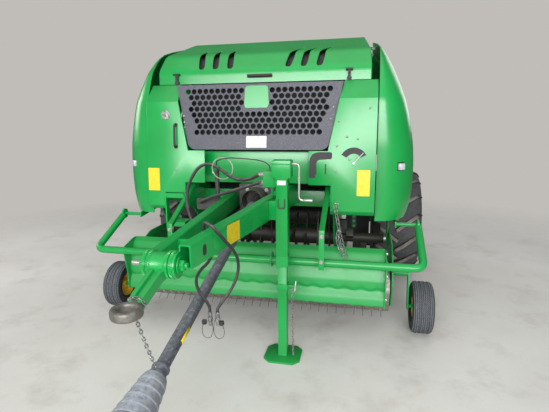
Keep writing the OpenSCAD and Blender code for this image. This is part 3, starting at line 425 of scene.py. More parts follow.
fixed("hose_fittings", joined(*fittings), plated, "chassis", "bare_steel", angle=30)
fixed("dust_caps", joined(*dust_caps), rubber, "chassis", "hose_rubber")

hose("hose_loop", hose_loop_line, thick_hose, True)
hose("hose_drop", hose_drop_line, thick_hose, True)
hose("hose_left", hose_left_line, thin_hose, False)
hose("hose_right", hose_right_line, thin_hose, False)
hose("signal_cable", signal_cable_line, cable, False)


# Daylight comes in low from the open doors behind the camera, and a weaker light comes down from the roof.
# The floor is a wide disc of pale concrete that fades into the plain backdrop.
world = bpy.data.worlds.new("hall")
bpy.context.scene.world = world
world.use_nodes = True
world.node_tree.nodes.clear()
backdrop = (192, 189, 184)
hall = Tree(world.node_tree)
# Plain grey for the camera, and a soft light for all else: bright ahead of the machine, dim behind it.
ahead_share = hall.node("ShaderNodeSeparateXYZ", {0: hall.node("ShaderNodeTexCoord", output="Generated")},
    "Y")
strength = hall.node("ShaderNodeMapRange", {"Value": ahead_share, "From Min": 0.3, "From Max": -0.9,
    "To Min": 0.14, "To Max": 0.62})
soft = hall.node("ShaderNodeBackground", {"Color": (0.93, 0.97, 1.0, 1.0), "Strength": strength})
plain = hall.node("ShaderNodeBackground", {"Color": shade(*backdrop)})
seen = hall.node("ShaderNodeLightPath", output="Is Camera Ray")
hall.end("ShaderNodeOutputWorld", hall.node("ShaderNodeMixShader", {0: seen, 1: soft, 2: plain}))


def area_lamp(name, place, target, size, power, colour):
    data = bpy.data.lights.new(name, "AREA")
    data.shape = "RECTANGLE"
    data.size, data.size_y = size
    data.energy = power
    data.color = colour
    aim = (Vector(target) - Vector(place)).to_track_quat("-Z", "Y")
    linked(name, data).matrix_world = Matrix.Translation(place) @ aim.to_matrix().to_4x4()


area_lamp("doors", (1.0, -9.0, 3.6), (0.0, 0.0, 2.2), (11.0, 3.0), 1300, (0.96, 0.98, 1.0))
area_lamp("roof", (0.5, -1.0, 7.0), (0.0, 0.5, 0.0), (7.0, 7.0), 135, (1.0, 0.98, 0.95))
area_lamp("gable", (-7.0, 1.0, 3.4), (0.0, 0.5, 1.2), (3.0, 2.6), 130, (1.0, 0.98, 0.94))
area_lamp("back_fill", (4.0, 8.0, 4.0), (0.0, 1.0, 1.0), (5.0, 4.0), 130, (1.0, 1.0, 1.0))
finish = Finish("concrete")
x, y = finish.part("X"), finish.part("Y")
away = (x * x + y * y) ** 0.5
cloud, speck = finish.noise(0.8, 6, 0.6), finish.noise(60, 4, 0.7)
stain = finish.noise(2.3, 5, 0.7).over(0.62, 0.2)
colour = finish.mixed((200, 196, 190), (214, 211, 206), cloud.over(0.5, 0.4))
colour = finish.mixed(colour, (170, 163, 155), stain * 0.5 + speck.over(0.64, 0.08) * 0.3)
colour = finish.mixed(colour, backdrop, away.over(4.6, 3.0))
concrete = finish.surface(colour, roughness=0.82, alpha=1 - away.over(5.3, 2.4),
    normal=finish.bumped(speck, 0.0008))
floor_radius = 7.5
disc = ring(Vector(), floor_radius, Vector((1, 0, 0)), Vector((0, 1, 0)), 96)
piece_of("floor", (disc, [list(range(96))]), concrete)


# The hood is one sheet with two folds and a flange down each side, painted green. Three slots on each side of
# its middle cross the upper fold. It shuts on two rubber latches and has a black bar to lift it by.
def green_paint(name, dust=0.35, grime=0.3, worn=0.0, gloss=0.32):
    """Gloss machine paint: dust on level faces, grime low down, and bare patches where it is worn."""
    finish = Finish(name)
    height, upward = finish.part("Z"), finish.part("Z", finish.facing)
    broad, fine = finish.noise(1.4, 4, 0.6), finish.noise(42, 6, 0.72)
    runs = finish.noise(14, 4, 0.6, finish.stretched(1, 1, 0.15))
    colour = finish.mixed((0, 130, 50), (3, 152, 68), broad.over(0.5, 0.5))
    lying = upward.over(0.62, 0.7) * dust
    low = (0.95 - height).over(0.35, 0.9) * grime
    cover = ((lying + low) * (0.35 + fine.over(0.5, 0.5)) + runs.over(0.64, 0.2) * grime * 0.35).clamped()
    colour = finish.mixed(colour, (74, 108, 70), cover * 0.42)
    scars = (finish.noise(26, 7, 0.75).over(0.7, 0.05) * worn).clamped()
    colour = finish.mixed(colour, (132, 118, 98), scars)
    peel = finish.noise(330, 2, 0.5) * 0.35 + finish.noise(3.1, 3, 0.5) * 2.2
    rough = (0.3 + cover * 0.42 + scars * 0.2).clamped()
    return finish.surface(colour, roughness=rough, coat_weight=gloss - cover * gloss, coat_roughness=0.22,
        normal=finish.bumped(peel, 0.0007))


def object_of(name, shape):
    """An object only for use by a modifier, it is removed afterwards."""
    mesh = mesh_of(name, *shape)
    faced(mesh)
    return linked(name, mesh)


def settle(obj, *helpers):
    """Makes an object's modifiers part of its mesh, and removes the helpers that they used."""
    bpy.context.view_layer.update()
    finished = bpy.data.meshes.new_from_object(obj.evaluated_get(bpy.context.evaluated_depsgraph_get()))
    obj.modifiers.clear()
    obj.data = finished
    for helper in helpers:
        bpy.data.objects.remove(helper)
    return obj


def walled(obj, thickness, offset=-1.0):
    wall = obj.modifiers.new("wall", "SOLIDIFY")
    wall.thickness = thickness
    wall.offset = offset
    wall.use_even_offset = True


def thickened(obj, thickness, offset=-1.0):
    walled(obj, thickness, offset)
    return settle(obj)


def cut_by(obj, cutter):
    cut = obj.modifiers.new("cut", "BOOLEAN")
    cut.operation = "DIFFERENCE"
    cut.solver = "EXACT"
    cut.object = cutter


def prism(outline, axis, low, high):
    """An outline given thickness along X, Y or Z. Its two numbers are the two other axes, in order."""
    def corner(a, b, c):
        values = {"X": (c, a, b), "Y": (a, c, b), "Z": (a, b, c)}[axis]
        return Vector(values)
    return skin([[corner(a, b, side) for a, b in outline] for side in (low, high)])


def open_grid(rows):
    """Corners and faces of a sheet over rows that each have as many corners."""
    count = len(rows[0])
    return [c for row in rows for c in row], [
        [i * count + k, i * count + k + 1, (i + 1) * count + k + 1, (i + 1) * count + k]
        for i in range(len(rows) - 1) for k in range(count - 1)]


panel_paint = green_paint("panel_paint", 0.55, 0.12)
soft_black = soiled("black_rubber", (24, 25, 27), (82, 80, 76), (70, 5, 0.7), (0.55, 0.3), 0.5, (0.55, 0.3),
    (500, 2), 0.0004)
hood_fold_line = rounded([(-0.006, 1.99), (0.0, 2.098), (0.13, 2.24), (0.705, 2.43), (0.79, 2.43)], 0.045, 6)
hood_flange = 0.058
hood_edge = 0.012


def hood_half(y):
    return 0.883 - 0.065 * min(max((y + 0.01) / 0.715, 0), 1)


def along_hood(across_at):
    """A sheet along the hood's folds. across_at makes (x, depth) of corners from half the width there."""
    rows = []
    for i, (y, z) in enumerate(hood_fold_line):
        before, after = hood_fold_line[max(i - 1, 0)], hood_fold_line[min(i + 1, len(hood_fold_line) - 1)]
        out = Vector((0, before[1] - after[1], after[0] - before[0])).normalized()
        rows.append([Vector((x, y, z)) - out * deep for x, deep in across_at(hood_half(y))])
    return open_grid(rows)


def hood_across(half):
    bend = [(half - hood_edge * (1 - math.sin(a)), hood_edge * (1 - math.cos(a)))
        for a in [k * math.pi / 8 for k in range(5)]]
    side = bend + [(half, 0.5 * hood_flange), (half, hood_flange)]
    return [(-x, deep) for x, deep in side[::-1]] + [(half * k / 3, 0) for k in range(-2, 3)] + side


hood = piece_of("hood_skin", along_hood(hood_across), panel_paint)
hood_slots = [(-0.501, -0.024, -0.03), (-0.381, -0.018, -0.022), (-0.255, -0.016, -0.018),
    (0.229, 0.022, 0.094), (0.353, 0.014, 0.088), (0.478, 0.016, 0.082)]
slot_shapes = []
for foot_x, mid_shift, tail_shift in hood_slots:
    spine = [(foot_x, 0.012, 0.012), (foot_x, 0.016, 0.021), (foot_x + 0.1 * mid_shift, 0.03, 0.026),
        (foot_x + 0.6 * mid_shift, 0.075, 0.027), (foot_x + mid_shift, 0.125, 0.024),
        (foot_x + 0.5 * (mid_shift + tail_shift), 0.19, 0.016), (foot_x + tail_shift, 0.262, 0.005)]
    outline = [(x - w, y) for x, y, w in spine] + [(x + w, y) for x, y, w in spine[::-1]]
    slot_shapes.append(prism(rounded(outline, 0.02, 3, True), "Z", 2.04, 2.42))
slot_cutter = object_of("slots", joined(*slot_shapes))
walled(hood, 0.005)
cut_by(hood, slot_cutter)
settle(hood, slot_cutter)
smooth_but(hood, 32)
belongs(hood, "hood", "green_paint", "hood")
hinges = [prism(rounded([(0.772, 2.382), (0.79, 2.378), (0.808, 2.382), (0.808, 2.408), (0.79, 2.424),
    (0.75, 2.424)], 0.006, 3, True), "X", s * 0.621, s * 0.645) for s in (-1, 1)]
fixed("hood_hinges", joined(*hinges), panel_paint, "hood", "green_paint")
bar = rounded([(-0.092, -0.004, 2.04), (-0.092, -0.02, 2.04), (0.092, -0.02, 2.04), (0.092, -0.004, 2.04)],
    0.012, 4)
back_of_bar = prism(rectangle(-0.105, 2.026, 0.105, 2.055, 0.01, 4), "Y", -0.009, -0.003)
fixed("hood_bar", joined(pipe(bar, 0.008, 12), back_of_bar), soft_black, "hood", "black_plastic")
for side, name in left_right:
    x = side * 0.712
    strap = prism(rectangle(x - 0.011, 1.972, x + 0.011, 2.066, 0.004, 2), "Y", -0.024, -0.01)
    grip = pipe([(x - 0.028, -0.018, 2.068), (x + 0.028, -0.018, 2.068)], 0.0095, 14)
    ball = turned([(0, 0.004), (0.003, 0.01), (0.01, 0.012), (0.017, 0.01), (0.02, 0.004)],
        (x, -0.004, 2.042), (0, -1, 0), 16)
    foot = prism(rectangle(x - 0.018, 1.994, x + 0.018, 2.012, 0.004, 2), "Y", -0.022, -0.004)
    fixed("latch_" + name, joined(strap, grip, ball, foot), soft_black, "hood", "black_plastic")


# The grille is moulded from dark grey plastic with a grain, leaned back, with eight rows of round holes and
# round lower corners. In front of it sit a blank green badge plate, a blank white plate and bright rivets.
def plate(outline, thickness, place, lift=0.0, holes=()):
    """A flat plate with holes, cut to an outline in X and Y of its place, its middle at Z = lift."""
    curve = bpy.data.curves.new("plate", "CURVE")
    curve.dimensions = "2D"
    curve.fill_mode = "BOTH"
    curve.extrude = thickness / 2
    for line in (outline, *holes):
        spline = curve.splines.new("POLY")
        spline.points.add(len(line) - 1)
        for point, (x, y) in zip(spline.points, line):
            point.co = (x, y, 0, 1)
        spline.use_cyclic_u = True
    obj = linked("plate", curve)
    mesh = bpy.data.meshes.new_from_object(obj)
    place = place @ Matrix.Translation((0, 0, lift))
    shape = [place @ v.co for v in mesh.vertices], [list(p.vertices) for p in mesh.polygons]
    bpy.data.objects.remove(obj)
    bpy.data.meshes.remove(mesh)
    bpy.data.curves.remove(curve)
    return shape


def circle(x, y, r, sides=16):
    return [(x + r * math.cos(a), y + r * math.sin(a)) for a in turns(sides)]


def leaning(y0, z0, y1, z1):
    """The place of a plate that faces forward with its foot at y0, z0 and leans towards y1, z1."""
    up = Vector((0, y1 - y0, z1 - z0)).normalized()
    out = Vector((1, 0, 0)).cross(up)
    turn = Matrix((Vector((1, 0, 0)), up, out)).transposed()
    return Matrix.Translation((0, y0, z0)) @ turn.to_4x4()


def copies(name, template, places, material):
    """One piece from copies of a template, each at a place with its own X and Z axes, by a node tree."""
    source = object_of(name + "_template", template)
    mesh = mesh_of(name, [p for p, x, z in places])
    for key, column in (("x_axis", 1), ("z_axis", 2)):
        layer = mesh.attributes.new(key, "FLOAT_VECTOR", "POINT")
        for value, item in zip(layer.data, places):
            value.vector = item[column]
    obj = linked(name, mesh)
    group = bpy.data.node_groups.new(name, "GeometryNodeTree")
    tree, axes = Tree(group), {}
    for label, kind, way in (("Points", "Geometry", "INPUT"), ("Copied shape", "Object", "INPUT"),
            ("Material", "Material", "INPUT"), ("Copies", "Geometry", "OUTPUT")):
        group.interface.new_socket(label, in_out=way, socket_type="NodeSocket" + kind)
    points, copied, look = [tree.node("NodeGroupInput", output=i) for i in range(3)]
    for key, label in (("z_axis", "Primary Axis"), ("x_axis", "Secondary Axis")):
        axes[label] = tree.node("GeometryNodeInputNamedAttribute", {"Name": key}, "Attribute",
            data_type="FLOAT_VECTOR")
    turn = tree.node("FunctionNodeAxesToRotation", axes, primary_axis="Z", secondary_axis="X")
    shape = tree.node("GeometryNodeObjectInfo", {"Object": copied}, "Geometry")
    spread = tree.node("GeometryNodeInstanceOnPoints", {"Points": points, "Instance": shape,
        "Rotation": turn})
    real = tree.node("GeometryNodeRealizeInstances", {0: spread})
    tree.end("NodeGroupOutput", tree.node("GeometryNodeSetMaterial", {"Geometry": real, "Material": look}))
    modifier = obj.modifiers.new("copies", "NODES")
    modifier.node_group = group
    inputs = [item.identifier for item in group.interface.items_tree if item.in_out == "INPUT"]
    modifier[inputs[1]], modifier[inputs[2]] = source, material
    settle(obj, source)
    smooth_but(obj, 35)
    return obj


finish = Finish("grained_plastic")
fleck, dust = finish.noise(210, 3, 0.75), finish.noise(9, 5, 0.65).over(0.5, 0.5)
colour = finish.mixed((50, 50, 60), (112, 110, 124), fleck.over(0.56, 0.16) * 0.8)
colour = finish.mixed(colour, (124, 120, 118), dust * 0.22)
grained = finish.surface(colour, roughness=0.46 + dust * 0.2, normal=finish.bumped(fleck, 0.0009))
grille_place = leaning(-0.166, 1.459, -0.1, 1.973)
grille_tall = math.hypot(0.066, 0.514)
grille_foot, grille_head, grille_corner, grille_thick = 0.568, 0.675, 0.07, 0.008
side_lean = math.atan2(grille_head - grille_foot, grille_tall)
turn_x = grille_foot - grille_corner * (1 - math.sin(side_lean)) / math.cos(side_lean)
right_side = [(turn_x + grille_corner * math.cos(a), grille_corner + grille_corner * math.sin(a))
    for a in [math.radians(-90) + k / 10 * (math.radians(90) - side_lean) for k in range(11)]]
right_side.append((grille_head, grille_tall))
grille_outline = right_side + [(-x, h) for x, h in right_side[::-1]]
holes = []
for i in range(8):
    h = 0.139 + i * 0.0466
    for j in range(-14, 15):
        x = (j + (i % 2) / 2) * 0.05
        behind_badge = abs(x) < 0.122 and h > 0.315
        if abs(x) < grille_foot + h * math.tan(side_lean) - 0.084 and not behind_badge:
            holes.append(circle(x, h, 0.0215, 18))
fixed("grille_sheet", plate(grille_outline, grille_thick, grille_place, -grille_thick / 2, holes), grained,
    "chassis", "black_plastic", "grille")
badge_outline = rounded([(-0.1, 0.352), (-0.09, 0.328), (0.09, 0.328), (0.1, 0.352), (0.092, 0.5),
    (-0.092, 0.5)], 0.03, 5, True)
fixed("badge_plate", plate(badge_outline, 0.006, grille_place, 0.0032), panel_paint, "chassis", "green_paint")
# Printed films with nothing on them, a little soiled.
white_film, yellow_film = [
    soiled(name, clean, worn, (38, 6, 0.7), (0.57, 0.3), 0.55, (0.38, 0.3), (90, 2), 0.0002)
    for name, clean, worn in (("white_film", (206, 208, 206), (140, 140, 132)),
    ("yellow_film", (214, 190, 14), (180, 154, 36)))]
# Painted shade: a faintly mottled near-black sheet, 95 mm behind the grille, stands for the shade seen
# through its holes.
finish = Finish("painted_shade_black")
shade_mottle = finish.noise(35, 5, 0.7)
colour = finish.mixed((7, 8, 8), (26, 26, 24), shade_mottle.over(0.55, 0.3))
painted_shade_black = finish.surface(colour, roughness=0.85, normal=finish.bumped(shade_mottle, 0.0006))
fixed("grille_screen", plate(grille_outline, 0.002, grille_place, -0.095), painted_shade_black, "chassis",
    "black_plastic")
fixed("white_plate", plate(rectangle(-0.08, 0.016, 0.086, 0.108, 0.005), 0.002, grille_place, 0.0012),
    white_film, "chassis", "bare_steel")
rivet = turned([(-0.002, 0.0075), (0.001, 0.0085), (0.0035, 0.0065), (0.0052, 0.003), (0.0056, 0.0)],
    sides=12)
ahead, across_x, up_z = Vector((0, -1, 0)), Vector((1, 0, 0)), Vector((0, 0, 1))
grille_out = grille_place.to_3x3() @ up_z


def facing_ahead(points):
    """Places for copies() at these points, which look ahead."""
    return [(Vector(point), across_x, ahead) for point in points]


rivet_places = [(grille_place @ Vector((x, h, 0)), across_x, grille_out)
    for x, h in ((-0.615, 0.272), (-0.611, 0.222), (-0.607, 0.18), (0.604, 0.326), (0.586, 0.236))]
rivets = facing_ahead([(0.875, -0.1625, 1.769), (0.65, -0.17, 1.677), (0.712, -0.18, 1.56),
    (0.794, -0.181, 1.546), (0.64, -0.186, 1.491), (0.636, -0.1995, 1.3), (0.735, -0.1936, 1.391),
    (0.79, -0.1936, 1.391), (-0.674, -0.1995, 1.291), (0.64, -0.2155, 1.053), (0.658, -0.2155, 1.05)])
belongs(copies("rivets", rivet, rivet_places + rivets, plated), "chassis", "bare_steel")


# The front panels, the rail under the hood and the panel below the grille are folded sheet in gloss green.
# They carry a lock disc, a black grab handle, blank yellow labels, two black scale plates and a pointer.
rotor_y, rotor_z = 0.48, 0.6


def softened(node, material, slot, width=0.0025, angle=28, eased=None):
    """Stands for a CAD node: its own form with whole flat faces and small round edges.

    eased is a journal's radius about the rotor's axis: it is drawn 0.8 mm thinner, so that the flats of its
    round turn clear of the flats of the bore.
    """
    mesh = nodes[node].data.copy()
    work = bmesh.new()
    work.from_mesh(mesh)
    for corner in work.verts if eased else ():
        out = corner.co - Vector((corner.co.x, rotor_y, rotor_z))
        if abs(out.length - eased) < 0.0015:
            corner.co -= out.normalized() * 0.0008
    bmesh.ops.remove_doubles(work, verts=work.verts, dist=0.00002)
    bmesh.ops.dissolve_limit(work, angle_limit=math.radians(1), verts=work.verts, edges=work.edges)
    work.to_mesh(mesh)
    work.free()
    obj = linked(node + "_finished", mesh)
    mesh.materials.clear()
    mesh.materials.append(material)
    edges = obj.modifiers.new("edges", "BEVEL")
    edges.width = width
    edges.segments = 2
    edges.limit_method = "ANGLE"
    edges.angle_limit = math.radians(angle)
    settle(obj)
    smooth_but(obj, 40)
    return belongs(obj, nodes[node]["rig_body"], slot, node)


softened("front_panels", panel_paint, "green_paint", 0.003)
upper_place = leaning(-0.19, 1.42, -0.155, 1.845)
lower_place = leaning(-0.218, 0.994, -0.19, 1.42)
lock_at = upper_place @ Vector((-0.761, 0.319, 0))
upper_out = upper_place.to_3x3() @ up_z
lock_line = rounded([(0, 0.039), (0.003, 0.039), (0.004, 0.034), (0.004, 0.016), (0.0055, 0.014),
    (0.0055, 0.0)], 0.0008, 2)
key_slot = prism([(-0.764, 1.727), (-0.758, 1.727), (-0.758, 1.749), (-0.764, 1.749)], "Y", -0.176, -0.17)
fixed("lock_disc", joined(turned(lock_line, lock_at, upper_out, 32), key_slot), dull_zinc, "chassis",
    "bare_steel")
grab_x, grab_foot, grab_head = -0.672, 0.062, 0.238
grab = rounded([upper_place @ Vector((grab_x, h, deep)) for h, deep in ((grab_foot, 0.0), (grab_foot, 0.03),
    (grab_head, 0.03), (grab_head, 0.0))], 0.018, 5)
feet = [turned([(0, 0.016), (0.004, 0.016), (0.006, 0.012)], upper_place @ Vector((grab_x, h, 0)),
    upper_out, 18) for h in (grab_foot, grab_head)]
fixed("grab_handle", joined(pipe(grab, 0.0085, 12), *feet), soft_black, "chassis", "black_plastic")
flat_labels = [plate(rectangle(*edges), 0.0012, lower_place, 0.0007)
    for edges in ((-0.928, 0.124, -0.826, 0.312), (0.797, 0.122, 0.893, 0.32))]
fixed("panel_labels", joined(*flat_labels), yellow_film, "chassis", "yellow_paint")
scale_l = rounded([(0.43, 0.252), (0.48, 0.252), (0.486, 0.37), (0.5, 0.392), (0.604, 0.4), (0.604, 0.452),
    (0.5, 0.452), (0.452, 0.436), (0.43, 0.39)], 0.014, 4, True)
arc_points = [(0.767 + r * math.cos(a), 0.384 + r * math.sin(a)) for r, turn in ((0.104, 1), (0.058, -1))
    for a in [math.radians(90 - turn * (62 - 124 * k / 14)) for k in range(15)]]
scales = joined(plate(scale_l, 0.0015, lower_place, 0.0008),
    plate(rounded(arc_points, 0.004, 2, True), 0.0015, lower_place, 0.0008),
    plate(rectangle(0.478, 0.28, 0.488, 0.352), 0.001, lower_place, 0.0006),
    plate(rectangle(0.552, 0.282, 0.562, 0.362), 0.001, lower_place, 0.0006))
fixed("scale_plates", scales, soft_black, "chassis", "black_plastic")
pointer = joined(
    pipe([lower_place @ Vector(p) for p in ((0.77, 0.372, 0.004), (0.838, 0.448, 0.005))], 0.0028, 8),
    turned([(0, 0.01), (0.005, 0.01), (0.007, 0.007)], lower_place @ Vector((0.768, 0.37, 0.001)),
    lower_place.to_3x3() @ up_z, 16))
fixed("scale_pointer", pointer, white_film, "chassis", "bare_steel")


# The shields at the sides are one moulding each: flat ahead, rounded at the corner, bulged at the side, with
# a round cut over the wheel. They lift on hinges at the top. A marker lamp sits in each one's front corner.
def along_table(table, value):
    """Reads a table of (key, result) pairs in rising order of key, with straight lines between them."""
    for (a, low), (b, high) in zip(table, table[1:]):
        if value <= b:
            return low + (high - low) * (value - a) / (b - a)
    return table[-1][1]


widest_table = [(0.905, 1.19), (0.96, 1.212), (1.06, 1.234), (1.2, 1.2415), (1.35, 1.24), (1.48, 1.23),
    (1.605, 1.211), (1.72, 1.187), (1.83, 1.158), (1.98, 1.105), (2.12, 1.047), (2.19, 1.016), (2.25, 0.98),
    (2.3, 0.94), (2.35, 0.898)]
front_table = [(0.8, -0.119), (1.5, -0.119), (1.845, -0.099), (1.95, -0.06), (2.09, 0.012), (2.18, 0.108),
    (2.25, 0.205), (2.3, 0.36), (2.34, 0.5), (2.4, 0.8)]
shield_edge, shield_back = 0.94, 1.048
corner_deep = 0.31
levels = [0.905 + (2.35 - 0.905) * k / 34 for k in range(35)]


def shield_ring(z):
    widest, front = along_table(widest_table, z), along_table(front_table, z)
    inner = min(shield_edge, widest - 0.006)
    reach = min(corner_deep, shield_back - front - 0.05)
    row = [Vector((inner, front, z))]
    for k in range(13):
        a = math.radians(90 * k / 12)
        row.append(Vector((inner + (widest - inner) * (0.02 + 0.98 * math.sin(a)),
            front + reach * (1 - math.cos(a)), z)))
    for k in range(1, 7):
        row.append(Vector((widest, front + reach + (shield_back - front - reach) * k / 6, z)))
    return row


def mirrored(shape):
    return [Vector((-c[0], c[1], c[2])) for c in shape[0]], [face[::-1] for face in shape[1]]


def on_side(side, shape):
    """The shape of the right side, or its mirror image for the left side."""
    return shape if side > 0 else mirrored(shape)


def both(shape):
    return joined(shape, mirrored(shape))


road_out, road_y, road_z = 1.2, 1.4, 0.585
wheel_arch = turned([(0.5, 0.665), (1.5, 0.665)], (0, road_y, road_z), (1, 0, 0), 96)
hinge_straps = joined(*[prism([(0.86, 2.302), (0.912, 2.308), (0.906, 2.336), (0.86, 2.33)], "Y",
    y + 0.021, y + 0.035) for y in (0.64, 0.98)])
for side, name in left_right:
    shield = piece_of("shield_skin_" + name, on_side(side, open_grid([shield_ring(z) for z in levels])),
        panel_paint)
    cutter = object_of("arch", on_side(side, wheel_arch))
    faced(thickened(shield, 0.009, -side).data)
    cut_by(shield, cutter)
    settle(shield, cutter)
    smooth_but(shield, 34)
    belongs(shield, "shield_" + name, "green_paint", "shield_" + name)
    fixed("shield_hinges_" + name, on_side(side, hinge_straps), panel_paint, "shield_" + name, "green_paint")


def lens(name, colour, deep):
    """Moulded clear plastic over a reflector, with fine upright ribs."""
    finish = Finish(name)
    ribs = (finish.part("X") * 900).math("SINE") * 0.5 + 0.5
    cloud = finish.noise(90, 3).over(0.5, 0.5)
    mix = finish.mixed(colour, deep, ribs * 0.5 + cloud * 0.3)
    return finish.surface(mix, roughness=0.12 + cloud * 0.1, coat_weight=0.8, metallic=0.1,
        normal=finish.bumped(ribs, 0.0006))


clear_lens = lens("clear_lens", (214, 218, 222), (120, 124, 130))
red_lens = lens("red_lens", (190, 22, 16), (110, 8, 8))
rim_turn = Matrix.Rotation(math.radians(36), 4, "Z")
lamp_at = Vector((1.117, -0.052, 1.329))
rim_lines = [[rim_turn @ Vector((u, depth, v)) + lamp_at for u, v in rectangle(-half, -half, half, half,
    0.008, 4)] for half, depth in ((0.0262, 0.003), (0.0345, 0.003), (0.0345, -0.006), (0.0325, -0.009),
    (0.028, -0.009), (0.0262, -0.007), (0.0262, 0.003))]
for side, name in left_right:
    softened("lamp_" + name, clear_lens, "clear_lamp", 0.007)
    fixed("lamp_rim_" + name, on_side(side, skin(rim_lines, False)), soft_black, "shield_" + name,
        "black_plastic", angle=40)


# Side walls, crossbeam with its hangers and arms, the front wall of the chamber, the gear housing and the
# axle are steel plate and tube in the same green, more soiled than the panels, or in black.
frame_paint = green_paint("frame_paint", 0.22, 0.2, 0.25, 0.12)
finish = Finish("satin_black")
dust = finish.noise(24, 6, 0.7).over(0.5, 0.4)
upward = finish.part("Z", finish.facing).over(0.3, 1.2)
colour = finish.mixed((22, 23, 25), (96, 92, 84), (dust * (upward * 0.5 + 0.25)).clamped())
satin_black = finish.surface(colour, roughness=0.42 + dust * 0.3, coat_weight=0.15,
    normal=finish.bumped(finish.noise(260, 2), 0.0005))
# Steel that crop and shaft rub bright, brown where nothing rubs it, and steel deep in the machine, near
# black:
# old crop juice and painted shade of the machine's inside, rubbed on its edges only.
bright_steel = soiled("worn_steel", (150, 148, 142), (112, 74, 48), (17, 6, 0.7), (0.56, 0.22), 0.8,
    (0.38, 0.4), (60, 3, 0.6), 0.0005, (0.85, -0.7), (0.2, 6, 6))
finish = Finish("crop_stain_and_painted_shade")
film = finish.noise(30, 6, 0.7)
rubbed = finish.noise(75, 4, 0.7, finish.stretched(0.3, 3, 3)).over(0.66, 0.08)
colour = finish.mixed((20, 22, 18), (44, 40, 30), film.over(0.5, 0.4))
colour = finish.mixed(colour, (118, 112, 98), rubbed * 0.5)
stain_and_shade_black = finish.surface(colour, metallic=rubbed * 0.6, roughness=0.6 - rubbed * 0.2,
    normal=finish.bumped(film, 0.0006))
for node in ("side_wall_left", "side_wall_right", "axle"):
    softened(node, frame_paint, "green_paint", 0.003)
softened("front_frame", frame_paint, "green_paint", 0.003, eased=0.055)
softened("front_shell", satin_black, "black_paint", 0.002)
softened("gearbox", satin_black, "black_paint", 0.006)
# The rollers' near black is crop juice and painted shade.
softened("front_rollers", stain_and_shade_black, "bare_steel", 0.0012)
softened("rotor_stubs", bright_steel, "bare_steel", 0.002, eased=0.025)


def stacked(*steps):
    """Steps that stand on one another: (profile, corners) of each, round or six-sided."""
    return joined(*[turned(profile, sides=corners) for profile, corners in steps])


bolt_head = stacked(([(0, 0.0145), (0.0025, 0.0145)], 20),
    ([(0.002, 0.0105), (0.0085, 0.0105), (0.0095, 0.0095)], 6))
bell_bolts = [(0.112 * math.cos(a), -0.152, 1.065 + 0.1 * math.sin(a)) for a in turns(8)[1::2]]
strap_bolts = [(s * 0.571, -0.586, z) for s in (-1, 1) for z in (0.7, 0.885)]
belongs(copies("frame_bolts", bolt_head, facing_ahead(bell_bolts + strap_bolts), plated), "chassis",
    "bare_steel")


# Dirt flaps: black rubber sheet that closes the gap between the axle's upright and each tyre. A flat steel
# strip and three bolts hold it to the upright's front face.
flap_line = rounded([(0.73, 0.36), (0.93, 0.36), (0.93, 0.64), (0.668, 0.64), (0.668, 0.468), (0.73, 0.468)],
    0.012, 3, True)
flap_strip = rectangle(0.735, 0.478, 0.785, 0.634, 0.005, 2)
fixed("dirt_flaps", both(prism(flap_line, "Y", 1.331, 1.339)), soft_black, "chassis", "hose_rubber")
fixed("flap_strips", both(prism(flap_strip, "Y", 1.326, 1.3312)), frame_paint, "chassis", "green_paint")
flap_bolts = facing_ahead([(s * 0.76, 1.3262, z) for s in (-1, 1) for z in (0.5, 0.556, 0.612)])
belongs(copies("flap_bolts", bolt_head, flap_bolts, plated), "chassis", "bare_steel")


# The tongue is two folded beams, the left one lower than the right one, with a tie plate behind the head. The
# right one has a cap on its end, a pressed field on its side, an oval slot and a blank yellow label.
def box_tube(ends, corner=0.007):
    """A tube of rounded square section through ends of (middle, side way, up way, width, height)."""
    rings = []
    for middle, side, up, width, height in ends:
        line = rectangle(-width / 2, -height / 2, width / 2, height / 2, corner, 4)
        rings.append([Vector(middle) + u * Vector(side) + v * Vector(up) for u, v in line])
    return skin(rings)


tongue_wide = 0.062
tongue_rear = 0.249
tongue_line_end = 0.25
tongue_table = {1: ((0.1, -1.79), 1.16, 0.112, 0.27, 1.165, 0.19),
    -1: ((-0.092, -1.69), 1.092, 0.092, -0.27, 1.092, 0.15)}


def tongue_at(side, y):
    """Middle of the beam, its side way, its top height and its own height at this place along the machine."""
    (x0, y0), top0, high0, x1, top1, high1 = tongue_table[side]
    share = (y - y0) / (tongue_line_end - y0)
    way = Vector((tongue_line_end - y0, x0 - x1, 0)).normalized()
    top, high = top0 + (top1 - top0) * share, high0 + (high1 - high0) * share
    return Vector((x0 + (x1 - x0) * share, y, top - high / 2)), way, top, high


tongue_shapes = []
for side, front in ((1, -1.785), (-1, -1.685)):
    ends = []
    for y in (front, front + 0.012, front + 0.6, -0.5, tongue_rear):
        middle, way, top, high = tongue_at(side, y)
        cut = 0.003 if y == front else 0
        ends.append((middle, way, up_z, tongue_wide - 2 * cut, high - 2 * cut))
    middle, way, top, high = tongue_at(side, front)
    hollow = [(middle + Vector((0, depth, 0)), way, up_z, tongue_wide - 0.018, high - 0.018)
        for depth in (0.09, 0.001)]
    tongue_shapes.append(box_tube(hollow + ends, 0.009))
    panel = []
    for y, grow in ((-1.56, 0.0), (-1.53, 1.0), (-1.05, 1.0), (-1.02, 0.0)):
        middle, way, top, high = tongue_at(side, y)
        panel.append((middle + way * side * (tongue_wide / 2 - 0.004 + 0.0065 * grow), way, up_z, 0.008,
            (high - 0.05) * (0.72 + 0.28 * grow)))
    tongue_shapes.append(box_tube(panel, 0.003))
tie = prism(rounded([(-0.098, 1.045), (0.11, 1.045), (0.116, 1.085), (-0.098, 1.085)], 0.004, 3, True), "Y",
    -1.47, -1.455)
head_plate = turned(rounded([(0, 0.058), (0.009, 0.058), (0.01, 0.05), (0.01, 0.0)], 0.001, 2),
    (0.071, -1.8, 1.072), (1, 0, 0), 40)
